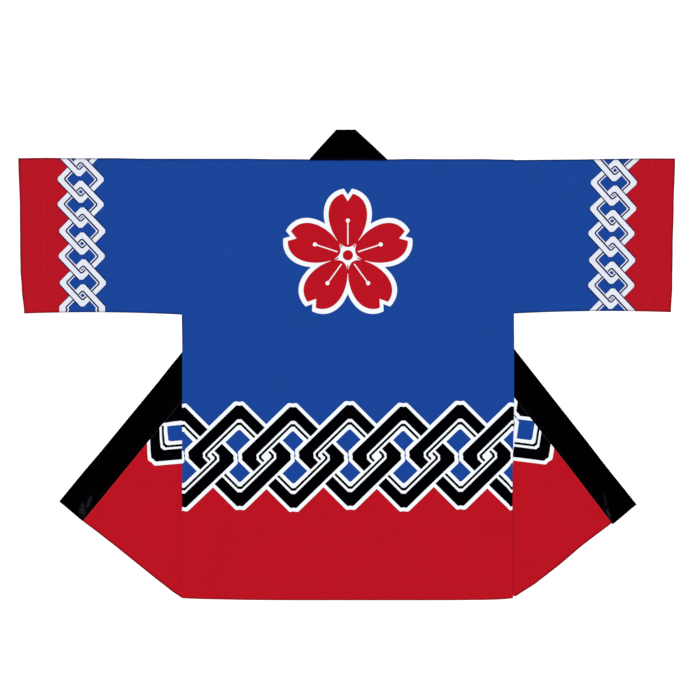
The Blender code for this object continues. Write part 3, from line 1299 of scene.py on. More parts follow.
@dataclass(frozen=True)
class BodyPrint(Finish):
    """Blue over scarlet with the large band of links between them, and the back's blossom.

    Attributes:
        link: the middle of one of the links, in the cut.
        second: whether it is the second of its pair.
        sign: 1 where the pairs run towards +x, and -1 where towards -x.
        tilt: how far the band is turned.
        seam: the place across at which a painted highlight along the collar's seam ends, or None.
        seam_highlight_share: how much white is painted in that highlight.
        blossom: the motif of the back, or None.
    """

    link: tuple[float, float] = (0.0040, -0.5500)
    second: bool = False
    sign: int = 1
    tilt: float = 0.0
    seam: float | None = None
    seam_highlight_share: float = 0.012
    blossom: Blossom | None = None

    def print(self, shade: Shade, x: Signal, y: Signal) -> Ink:
        """Lays scarlet below the band, then the band, a painted highlight beside the collar's seam,
        then the motif.

        Args:
            shade: the material.
            x: the place across the cut.
            y: the place along the cut.

        Returns:
            The printed colours.
        """
        across, up = x - self.link[0], y - self.link[1]
        cosine, sine = math.cos(self.tilt), math.sin(self.tilt)
        s = (across * cosine - up * sine) * self.sign
        t = across * sine + up * cosine
        if self.second:
            s, t = s + BODY_LINKS.near, t + BODY_LINKS.second_t
        ground = shade.over(t.below(0.0), Dye.BLUE, Dye.RED)
        colour = BODY_LINKS.paint(shade, s, t, ground, Dye.BLUE)
        if self.seam is not None:
            # Painted highlight: a faint white line beside the collar's seam, where its edge catches
            # the light.
            colour = shade.over(x.below(self.seam) * self.seam_highlight_share, colour, Dye.WHITE)
        return self.blossom.paint(shade, x, y, colour) if self.blossom else colour


@dataclass(frozen=True)
class SleevePrint(Finish):
    """Blue with a scarlet cuff and the small band of links between them.

    Attributes:
        half: the half of the coat that the sleeve is on.
        slip_reach: how far from the shoulder line the print is moved.
        bow: how far the band bends towards the body between its ends.
    """

    half: Half = LEFT
    slip_reach: float = 0.120
    bow: float = 0.0012

    def print(self, shade: Shade, x: Signal, y: Signal) -> Ink:
        """Lays scarlet outside the band, then the band, and turns it back at the underarm seam.

        Args:
            shade: the material.
            x: the place out from the middle of the body.
            y: the place along the cut, round the sleeve.

        Returns:
            The printed colours.
        """
        half = self.half
        y = (y + half.underarm_seam).size() - half.underarm_seam
        down = y.size() * (1.0 / half.armhole_depth)
        inward = down * half.link_drift + down * (-down + 1.0) * 4.0 * self.bow
        slip = (y.size() * (-1.0 / self.slip_reach) + 1.0).most(0.0)
        t = -x + half.link_x - inward + slip * half.link_slip[0]
        s = (y + half.link_y + slip * half.link_slip[1]) * half.sign
        ground = shade.over(t.below(0.0), Dye.BLUE, Dye.CUFF_RED)
        return SLEEVE_LINKS.paint(shade, s, t, ground, Dye.BLUE)


@dataclass(frozen=True)
class CollarPrint(Finish):
    """Black, with a dull line along the seam and painted sheen, greyish, on the crests of the creases
    near its ends.

    Attributes:
        seam: the width of the line along the seam.
    """

    seam: float = 0.0009

    def print(self, shade: Shade, x: Signal, y: Signal) -> Ink:
        """Lays the seam's line and the painted sheen on the crease crests over the black.

        Args:
            shade: the material.
            x: the place along the strip; not used.
            y: the place across it.

        Returns:
            The collar's colours.
        """
        beside = y.below(self.seam - CUT.lap - CUT.neck_drop)
        colour = shade.over(beside, Dye.COLLAR, Dye.SEAM)
        # Painted sheen: grey on the crests of the creases near the collar's ends.
        return shade.over(shade.mark("painted_sheen"), colour, Dye.WORN)


@dataclass(frozen=True)
class Thread:
    """Sewing thread in one of the coat's colours.

    Attributes:
        dye: its colour.
        twist: how far its strands turn in a metre.
        tone: how much painted highlight and shade the twist gives it, lighter on the strands' crowns
            and darker between them.
        relief: how far they stand out.
    """

    dye: Dye
    twist: float = 9000.0
    tone: float = 0.12
    relief: float = 0.00004

    def material(self) -> bpy.types.Material:
        """Builds the thread's material: its colour, lit and shaded in paint along the twist of its
        strands, with that twist as bump.

        Returns:
            The finished material.
        """
        shade = Shade(f"thread_{self.dye.name.lower()}")
        place, parts = shade.node("ShaderNodeTexCoord"), shade.node("ShaderNodeSeparateXYZ")
        shade.tree.links.new(place.outputs["Object"], parts.inputs[0])
        x, y = Signal(shade.tree, parts.outputs[0]), Signal(shade.tree, parts.outputs[1])
        twist = ((x + y) * self.twist).sine()
        # Painted highlight and shade: lighter where the twist's bump is high, darker in its grooves.
        tone = twist * self.tone + 1.0
        colour = shade.scaled(self.dye, tone)
        shade.tree.links.new(colour, shade.surface.inputs["Base Color"])
        bump = shade.node("ShaderNodeBump")
        bump.inputs["Distance"].default_value = self.relief
        shade.tree.links.new(twist.socket, bump.inputs["Height"])
        shade.tree.links.new(bump.outputs[0], shade.surface.inputs["Normal"])
        shade.surface.inputs["Roughness"].default_value = 0.6
        shade.surface.inputs["Specular IOR Level"].default_value = 0.25
        return shade.material


# The points round a stitch.
SPOKES = 6


@dataclass(frozen=True)
class Seam:
    """A row of machine stitches on a surface.

    Attributes:
        name: the piece's name.
        dye: the thread's colour.
        pitch: from one stitch to the next.
        long: the length of a stitch.
        thick: the thread's thickness.
        rings: the parts of a bead's half length at which it has a ring of points.
        blunt: the least square of a ring's share of the thickness.
    """

    name: str
    dye: Dye
    pitch: float = 0.0034
    long: float = 0.0027
    thick: float = 0.00045
    rings: tuple[float, ...] = (-1.0, -0.86, -0.45, 0.0, 0.45, 0.86, 1.0)
    blunt: float = 0.04

    def build(self, runs: Sequence[Array]) -> bpy.types.Object:
        """Makes all the stitches along some runs: a bead drawn out along each run.

        A bead has rings of six points. Its half-thickness at the part p of its length is
        sqrt(1 - p^2) of the thread's.

        Args:
            runs: for each row of stitches, the points along it on the cloth's surface, closely
                spaced.

        Returns:
            One piece with all the stitches.
        """
        rows = []
        for run in runs:
            steps = np.linalg.norm(np.diff(run, axis=0), axis=1)
            along = np.concatenate([[0.0], np.cumsum(steps)])
            middles = np.arange(self.pitch / 2, along[-1] - self.pitch / 2, self.pitch)
            shifts = (0.0, self.long / 2, -self.long / 2)
            rows.append(
                [[np.interp(middles + way, along, run[:, k]) for k in range(3)] for way in shifts]
            )
        middle, ahead, behind = np.moveaxis(np.concatenate(rows, axis=-1), 1, -1)
        tangent = ahead - behind
        tangent /= np.linalg.norm(tangent, axis=1, keepdims=True)
        side = np.cross(tangent, [0.0, 0.0, 1.0])
        side /= np.linalg.norm(side, axis=1, keepdims=True)
        rise = np.cross(side, tangent)
        parts = np.array(self.rings)
        girth = np.sqrt(np.maximum(1.0 - parts**2, self.blunt)) * self.thick / 2
        around = np.linspace(0.0, math.tau, SPOKES + 1)[:-1]
        length, width, height = np.broadcast_arrays(
            parts[:, None] * self.long / 2,
            girth[:, None] * np.cos(around),
            girth[:, None] * np.sin(around),
        )
        local = np.stack([length, width, height], axis=-1).reshape(-1, 3)
        axes = np.stack([tangent, side, rise], axis=1)
        points = middle[:, None, :] + np.einsum("pk,nkj->npj", local, axes)
        made = mesh_object(self.name, points.reshape(-1, 3), self._faces(len(middle), len(parts)))
        made.data.materials.append(Thread(self.dye).material())
        return made

    @staticmethod
    def _faces(stitches: int, rings: int) -> Array:
        """The faces of every bead: its sides, and two for each flat end.

        Args:
            stitches: how many beads there are.
            rings: how many rings each has.

        Returns:
            Four point numbers for each face.
        """
        ring, spoke = np.meshgrid(np.arange(rings - 1), np.arange(SPOKES), indexing="ij")
        low, turn = ring * SPOKES, (spoke + 1) % SPOKES
        high = low + SPOKES
        sides = np.stack([low + spoke, high + spoke, high + turn, low + turn], axis=-1)
        ends = np.array([[0, 1, 2, 3], [0, 3, 4, 5], [3, 2, 1, 0], [5, 4, 3, 0]])
        ends[2:] += (rings - 1) * SPOKES
        one = np.concatenate([sides.reshape(-1, 4), ends])
        offsets = np.arange(stitches)[:, None, None] * rings * SPOKES
        return (one[None] + offsets).reshape(-1, 4)


@dataclass
class Panel:
    """A cloth panel of the coat: how every kind is finished and handed to the frame.

    Attributes:
        node: the solid that it stands for.
        slot: the record's material slot.
        flat_size: the width and length that it was cut to.
        held: the way in which the sheet lies.
        stitched_at: from its hem, or the collar's seam, to its row of stitches.
        stitched_places: how many places that row's run has.
        creases: the creases of what shows.
    """

    node: str
    slot: str
    flat_size: tuple[float, float]
    held: str
    stitched_at: float
    stitched_places: int
    creases: tuple[Crease, ...]

    def place(self, points: Array) -> Array:
        """Moves points from the coat's own cut to the solids' place."""
        low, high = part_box("back")
        return points + np.array([(low.x + high.x) / 2, high.y, 0.0])

    def finish(
        self,
        cloth: bpy.types.Object,
        material: bpy.types.Material,
        rests_on: Sequence[str],
        stitches: Sequence[bpy.types.Object],
    ) -> None:
        """Dresses a panel and makes it stand for its solid.

        Args:
            cloth: the panel's mesh.
            material: its finish.
            rests_on: the nodes that it lies on; not used.
            stitches: the stitching on it.
        """
        cloth.data.materials.append(material)
        for piece in (cloth, *stitches):
            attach(piece, "root")
        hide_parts(self.node)
        LOG.info("%s: %d faces", cloth.name, len(cloth.data.polygons))


@dataclass
class Back(Panel):
    """The back panel, from the neck and shoulders to the hem.

    Attributes:
        columns: the grid's steps across.
        rows: its steps along.
        stitched_to: how far to each side the stitching goes.
        neck_top: how far down the rows begin to make room for the neck.
        free_edge: how far down the side edges hang free.
        side_setback: how far outside each free side edge its painted rim shade is darkest, left and
            right.
        hem_setback: the same at the hem.
        band_tilt: how far the band of links is turned.
    """

    node: str = "back"
    slot: str = "back_cotton"
    flat_size: tuple[float, float] = (0.6156, 0.8189)
    held: str = "laid"
    columns: int = 150
    rows: int = 200
    stitched_at: float = 0.018
    stitched_to: float = 0.3045
    stitched_places: int = 400
    neck_top: float = 0.006
    free_edge: float = 0.347
    side_setback: tuple[float, float] = (0.0, 0.0020)
    hem_setback: float = 0.0009
    band_tilt: float = math.radians(-0.17)
    creases: tuple[Crease, ...] = (
        Crease((-0.290, -0.020), (-0.250, -0.300), 0.010, 0.0005),
        Crease((0.262, -0.040), (0.215, -0.330), 0.012, 0.0006),
        Crease((-0.120, -0.640), (-0.150, -0.790), 0.010, 0.0004),
        Crease((0.060, -0.610), (0.105, -0.800), 0.012, 0.0004),
        Crease((-0.030, -0.330), (0.020, -0.470), 0.014, 0.0004),
        Crease((0.090, -0.012), (0.300, -0.016), 0.030, 0.0028),
        Crease((0.230, -0.100), (0.300, -0.060), 0.026, 0.0020),
        Crease((-0.300, -0.020), (-0.150, -0.012), 0.026, 0.0014),
    )

    def shape(self, flat: Array, offset: Array) -> Array:
        """Wraps the shoulder edges down, lifts the hem's corners and drapes the panel.

        The side edges are drawn in and the shoulder line sags as much as each half's do.

        Args:
            flat: places in the flat cut.
            offset: how far each point is off the wall's middle, towards the outer face.

        Returns:
            The points where the panel lies.
        """
        points = np.concatenate([flat, offset[..., None]], axis=-1)
        wrapped = fold(points, flat, CUT.shoulder_fold(), CUT.edge_radius, Turn.UNDER)
        beside_neck = (np.abs(flat[..., 0]) >= CUT.half_neck)[..., None]
        points = np.where(beside_neck, wrapped, points)
        near_hem = (-points[..., 1] - CUT.hem_rise_start) / (CUT.length - CUT.hem_rise_start)
        near_hem = np.clip(near_hem, 0.0, 1.0)
        high = soft_step(1.0 + flat[..., 1] / CUT.shoulder_ease)
        off_middle = np.where(flat[..., 0] == 0.0, JUST_ASIDE, flat[..., 0])
        for half in HALVES:
            outward = np.stack([off_middle * half.sign, flat[..., 1]], axis=-1)
            here = outward[..., 0] > 0.0
            out = np.where(here, outward[..., 0], 0.0)
            rise = CUT.hem_rise * (out / CUT.half_body) ** half.hem_power - CUT.hem_drop
            points[..., 1] += here * (rise * near_hem - half.sagged(out) * high)
            points[..., 0] -= half.sign * here * half.pulled(outward)
        points[..., 2] += CUT.cloth / 2 + CUT.back_rise(points)
        points[..., 2] += uneven(self.creases, points)
        return points

    def marks(self, x: Array, y: Array) -> dict[str, Array]:
        """Where the back is given painted shade at its rolled rims and a painted highlight beside the
        seams to the sleeves.

        Below the sleeves the side edges hang free only as far as the fronts' collars.

        Args:
            x: places across the flat cut.
            y: places along it.

        Returns:
            The nearness to a rim, for its painted shade, and the painted highlight beside a seam, by
            attribute.
        """
        side = CUT.half_body - np.abs(x)
        sewn = y > -LEFT.armhole_depth
        free = ~sewn & (y > -self.free_edge)
        at_side = np.where(free, side + np.where(x < 0.0, *self.side_setback), 1.0)
        # Painted highlight beside the seams to the sleeves.
        gleam = np.where(sewn, CUT.seam_gleam * (1.0 - side / SEAM_REACH), -1.0)
        # Painted shade near the rolled rims.
        painted_shade_nearness = rim(at_side, y + CUT.length + self.hem_setback, np.abs(y))
        return {"rim": painted_shade_nearness, "gleam": gleam}

    def build(self) -> None:
        """Makes the back, its hem's stitching and its finish."""
        radius = CUT.cloth / 2
        split = [s * (CUT.half_neck + d) for s in (-1, 1) for d in (-NECK_SPLIT, NECK_SPLIT)]
        x, x_share = with_more(*edged(-CUT.half_body, CUT.half_body, self.columns, radius), split)
        half_bend = math.pi * CUT.edge_radius / 2
        wrap_start, wrap_end = (CUT.shoulder_fold().y + way * half_bend for way in (-1, 1))
        bend = np.linspace(wrap_start, wrap_end - radius, BEND_STEPS + 1)[:-1]
        y, y_share = with_more(*edged(-CUT.length, wrap_end, self.rows, radius), bend)
        grid_x, grid_y = np.meshgrid(x, y, indexing="ij")
        top = -self.neck_top
        squeezed = top + (grid_y - top) * (-CUT.neck_drop - top) / (wrap_end - top)
        in_neck = (np.abs(grid_x) < CUT.half_neck) & (grid_y > top)
        flat = np.stack([grid_x, np.where(in_neck, squeezed, grid_y)], axis=-1)
        share = np.minimum(x_share[:, None], y_share[None, :])
        edge = share <= 0.0
        upper, lower = self.shape(flat, share * radius), self.shape(flat, -share * radius)
        marks = self.marks(grid_x, grid_y)
        wall = Wall("back_cloth", self.place(upper), self.place(lower), flat, edge, marks=marks)
        cloth = wall.build()
        across = np.linspace(-self.stitched_to, self.stitched_to, self.stitched_places)
        run = level(across, -CUT.length + self.stitched_at)
        hem = self.place(self.shape(run, np.full(len(run), radius)))
        stitches = Seam("back_hem_stitches", Dye.RED).build([hem])
        finish = BodyPrint("back_print", tilt=self.band_tilt, blossom=Blossom())
        rests_on = ("front_left", "front_right", "collar")
        self.finish(cloth, finish.material(), rests_on, [stitches])


@dataclass
class Front(Panel):
    """A front panel with its fold: the hidden upper part and the part that is folded out.

    Attributes:
        half: the half of the coat that it is on.
        columns: the grid's steps across.
        folded_rows: its rows on the part that is folded out.
        upper_rows: its rows on the upper part.
        stitched_from: how far from the collar's seam the stitching begins.
        stitched_to: how far from the side seam it ends.
        pull_share: how much further in its side is drawn than the back's.
        seam_highlight_width: the width of the painted highlight along the collar's seam.
    """

    half: Half = LEFT
    node: str = ""
    slot: str = ""
    flat_size: tuple[float, float] = (0.235, 0.8166)
    held: str = "folded"
    columns: int = 62
    folded_rows: int = 100
    upper_rows: int = 60
    stitched_at: float = 0.018
    stitched_from: float = 0.001
    stitched_to: float = 0.010
    stitched_places: int = 200
    pull_share: float = 1.3
    seam_highlight_width: float = 0.0013
    creases: tuple[Crease, ...] = (
        Crease((0.345, -0.640), (0.395, -0.770), 0.010, 0.0006),
        Crease((0.420, -0.610), (0.455, -0.700), 0.008, 0.0005),
        Crease((0.330, -0.560), (0.350, -0.640), 0.009, 0.0004),
    )

    def __post_init__(self) -> None:
        """Names the panel after its half."""
        self.node = f"front_{self.half.name}"
        self.slot = f"{self.node}_cotton"

    def shape(self, flat: Array, offset: Array) -> Array:
        """Folds the panel out beneath itself and lowers what lies beside the armhole.

        Before that, the cloth near the hem is moved as far past the cut as the hem reaches, and
        the cloth beside the side seam as far in as the back's.

        Args:
            flat: places in the flat cut, with x outward.
            offset: how far each point is off the wall's middle, towards the inner face.

        Returns:
            The points where the panel lies.
        """
        line = CUT.front_fold(self.half)
        points = np.concatenate([flat, offset[..., None]], axis=-1)
        near_hem = soft_step(1.0 - (flat[..., 1] + CUT.length) / CUT.hem_ease)
        points[..., 1] -= between(self.half.hem_reach, flat[..., 0]) * near_hem
        points[..., 0] -= self.half.pulled(flat) * self.pull_share
        beside_seam = soft_step(1.0 - (flat[..., 0] - CUT.half_neck) / CUT.seam_ease)
        points[..., 0] += between(self.half.collar_seam, flat[..., 1]) * beside_seam
        points = fold(points, flat, line, CUT.front_radius, Turn.UNDER)
        unfolded = line.past(flat) < 0.0
        points[..., 2] += CUT.front_mid - np.where(unfolded, CUT.shoulder_fall(flat), 0.0)
        shows = CUT.outside(points) * ~unfolded
        points[..., 2] += shows * uneven(self.creases, points)
        points[..., 0] *= self.half.sign
        return points

    def build(self) -> None:
        """Makes the front, its hem's stitching and its finish.

        The grid's rows follow the hem, then both sides of the fold, then the shoulder. At the side
        of the hem, where the fold ends, the rows that have no room lie close together.
        """
        radius = CUT.cloth / 2
        line = CUT.front_fold(self.half)
        x, x_share = edged(CUT.half_neck, CUT.half_body, self.columns, radius)
        y_fold = line.up(x)[:, None]
        reach = math.pi * CUT.front_radius / 2 / math.sin(self.half.fold_angle)
        inset, share = rounded(radius)
        top = -CUT.edge_radius - CUT.cloth / 2 - CUT.gap
        low, high = -CUT.length + radius, top - radius
        below = low + (y_fold - reach - low) * np.linspace(0.0, 1.0, self.folded_rows)[None, 1:]
        bend = y_fold + np.linspace(-reach, reach, BEND_STEPS + 1)[None, 1:-1]
        above = y_fold + reach + (high - y_fold - reach) * np.linspace(0.0, 1.0, self.upper_rows)
        ones = np.ones((len(x), 1))
        y = np.concatenate(
            [ones * (-CUT.length + inset), below, bend, above[:, :-1], ones * (top - inset)[::-1]],
            axis=1,
        )
        spacing = ROW_GAP * np.arange(y.shape[1])
        first = len(inset)
        y[:, first:] = np.maximum(y[:, first:], low + spacing[first:])
        flat = np.stack([np.broadcast_to(x[:, None], y.shape), y], axis=-1)
        middle = y.shape[1] - 2 * len(share)
        y_share = np.concatenate([share, np.ones(middle), share[::-1]])
        wall_share = np.minimum(x_share[:, None], y_share[None, :])
        upper = self.shape(flat, wall_share * radius)
        lower = self.shape(flat, -wall_share * radius)
        cloth = Wall(
            f"{self.node}_cloth",
            self.place(upper),
            self.place(lower),
            flat,
            wall_share <= 0.0,
            upper_face=Face.INNER,
            mirrored=self.half.sign < 0,
            # Painted shade along the rolled rim of the hem.
            marks={"rim": rim(flat[..., 1] + CUT.length)},
        ).build()
        start, stop = CUT.half_neck + self.stitched_from, CUT.half_body - self.stitched_to
        run = level(np.linspace(start, stop, self.stitched_places), -CUT.length + self.stitched_at)
        hem = self.place(self.shape(run, np.full(len(run), -radius)))
        stitches = Seam(f"{self.node}_hem_stitches", Dye.RED).build([hem])
        finish = BodyPrint(
            f"{self.node}_print",
            link=(CUT.half_neck + self.half.front_link[0], self.half.front_link[1] - CUT.length),
            second=True,
            sign=-self.half.sign,
            tilt=self.half.front_tilt,
            seam=CUT.half_neck + self.seam_highlight_width,
        )
        self.finish(cloth, finish.material(), ("collar",), [stitches])


@dataclass
class Sleeve(Panel):
    """A sleeve: a flattened tube with its fold on the shoulder line.

    Attributes:
        half: the half of the coat that it is on.
        columns: the grid's steps along the sleeve.
        rows: its steps down each layer.
        hem_gleam: how much painted highlight lightens the cloth along its stitching.
        gleam_reach: how far from the stitching that painted highlight reaches.
        groove_width: half the width of the stitching's groove.
        fine_reach: how far to each side of the stitching more columns lie.
        fine_columns: how many.
        fold_setback: how far outside the fold its painted rim shade is darkest.
        underarm_setback: the same at the underarm seam.
        end_fade: how steeply the creases fade in at the sleeve's ends.
        stitched_parts: the parts of the depth between which the stitching goes.
        sunk_below: how far into the lower layer the stitches there are sunk.
    """

    half: Half = LEFT
    node: str = ""
    slot: str = ""
    flat_size: tuple[float, float] = (0.296, 0.576)
    held: str = "folded"
    columns: int = 74
    rows: int = 72
    stitched_at: float = 0.044
    hem_gleam: float = 0.050
    gleam_reach: float = 0.004
    groove_width: float = 0.0025
    fine_reach: float = 0.005
    fine_columns: int = 9
    fold_setback: float = 0.0009
    underarm_setback: float = 0.0016
    end_fade: float = 12.0
    stitched_parts: tuple[float, float] = (0.004, 0.996)
    stitched_places: int = 200
    sunk_below: float = 0.0002
    creases: tuple[Crease, ...] = ()

    def __post_init__(self) -> None:
        """Names the panel after its half and gives it the cloth's whole way round."""
        self.node = f"sleeve_{self.half.name}"
        self.slot = f"{self.node}_cotton"
        length = self.half.sleeve_top - self.half.cuff_in[-1][1] / 2
        self.flat_size = (length, self.half.armhole_depth + self.half.cuff_depth)

    def shape(self, part: Array, ring: Array, offset: Array) -> Array:
        """Places points of the tube.

        A ring has two flat runs, one over the other, joined by half circles. Its middle line lies
        edge_radius from the line between them. The underarm seam bows up between its ends, and
        the stitching of the cuff's hem draws a groove into the upper layer.

        Args:
            part: how far out along the sleeve each point is, from 0 to 1.
            ring: for each point, its share of the depth, and the wall's outward normal, y and z.
            offset: how far each point is off the wall's middle, outward.

        Returns:
            The points where the sleeve lies.
        """
        half = self.half
        depth = half.armhole_depth + (half.cuff_depth - half.armhole_depth) * part
        depth = depth - CUT.underarm_bow * 4.0 * part * (1.0 - part)
        edge = CUT.edge_radius + CUT.cloth / 2
        reach = CUT.edge_radius + offset
        y = -edge - ring[..., 0] * (depth - 2 * edge) + reach * ring[..., 1]
        z = edge + reach * ring[..., 2]
        length = half.sleeve_top - between(half.cuff_in, np.clip(-y / depth, 0.0, 1.0))
        x = CUT.half_body - CUT.lap + (length + CUT.lap) * part
        y = y - half.sagged(x) * soft_step(1.0 + y / CUT.shoulder_ease)
        points = np.stack([x, y, z], axis=-1)
        on_top = soft_step(ring[..., 2] * 2.0 - 0.5)
        from_hem = (part - 1.0 + self.stitched_at / half.sleeve_top) * half.sleeve_top
        points[..., 2] -= on_top * CUT.hem_groove * np.exp(-((from_hem / self.groove_width) ** 2))
        middle = soft_step(np.minimum(part, 1.0 - part) * self.end_fade)
        points[..., 2] += on_top * middle * uneven(self.creases, points)
        points[..., 0] *= half.sign
        return points

    def build(self) -> None:
        """Makes the sleeve, its cuff's stitching and its finish."""
        half, radius = self.half, CUT.cloth / 2
        fine = np.linspace(-self.fine_reach, self.fine_reach, self.fine_columns)
        part, part_share = with_more(
            *edged(0.0, 1.0, self.columns, radius / half.sleeve_top),
            1.0 + (fine - self.stitched_at) / half.sleeve_top,
        )
        down = np.linspace(0.0, 1.0, self.rows + 1)
        turns = np.linspace(0.0, math.pi, BEND_STEPS + 1)[1:-1]
        depth = np.concatenate([down, np.ones(len(turns)), down[::-1], np.zeros(len(turns)), [0.0]])
        angle = np.concatenate(
            [np.zeros(len(down)), turns, np.full(len(down), math.pi), math.pi + turns, [math.tau]]
        )
        ring = np.stack([depth, -np.sin(angle), np.cos(angle)], axis=-1)
        seam = len(down) + len(turns) // 2
        ring = np.concatenate([ring[seam:-1], ring[: seam + 1]])
        shape = (len(part), len(ring))
        parts = np.broadcast_to(part[:, None], shape)
        rings = np.broadcast_to(ring[None], (*shape, 3))
        share = np.broadcast_to(part_share[:, None], shape)
        upper, lower = (self.shape(parts, rings, sign * share * radius) for sign in (1, -1))
        middle = self.shape(parts, rings, np.zeros(shape))
        below = np.arange(len(ring)) < len(ring) // 2
        round_it = np.abs(middle[..., 1]) * np.where(below, 1.0, -1.0)
        cut = np.stack([np.abs(middle[..., 0]), round_it], axis=-1)
        # Painted shade: how near each point is to the rims at the sleeve's end, fold and underarm
        # seam.
        to_end = (1.0 - parts) * half.sleeve_top
        to_fold = rings[..., 0] * half.armhole_depth + self.fold_setback
        to_seam = (1.0 - rings[..., 0]) * half.armhole_depth + self.underarm_setback
        # Painted highlights along the cuff's stitching and beside the armhole's seam.
        from_hem = np.abs(to_end - self.stitched_at)
        at_hem = self.hem_gleam * (1.0 - from_hem / self.gleam_reach)
        at_armhole = CUT.seam_gleam * (1.0 - parts * half.sleeve_top / SEAM_REACH)
        marks = {"rim": rim(to_end, to_fold, to_seam), "gleam": np.maximum(at_hem, at_armhole)}
        cloth = Wall(
            f"{self.node}_cloth",
            self.place(upper),
            self.place(lower),
            cut,
            share <= 0.0,
            wraps=True,
            mirrored=half.sign > 0,
            marks=marks,
        ).build()
        runs = [self._cuff_run(1.0), self._cuff_run(-1.0)]
        stitches = Seam(f"{self.node}_cuff_stitches", Dye.RED).build(runs)
        finish = SleevePrint(f"{self.node}_print", half=half)
        self.finish(cloth, finish.material(), (), [stitches])

    def _cuff_run(self, upward: float) -> Array:
        """The line of the cuff's stitching on one layer.

        Args:
            upward: 1 for the upper layer and -1 for the lower.

        Returns:
            The places along it, on the layer's outer face.
        """
        down = np.linspace(*self.stitched_parts, self.stitched_places)
        ones = np.ones(self.stitched_places)
        ring = np.stack([down, 0.0 * ones, upward * ones], axis=-1)
        part = (1.0 - self.stitched_at / self.half.sleeve_top) * ones
        sunk = 0.0 if upward > 0 else -self.sunk_below
        return self.place(self.shape(part, ring, (CUT.cloth / 2 + sunk) * ones))


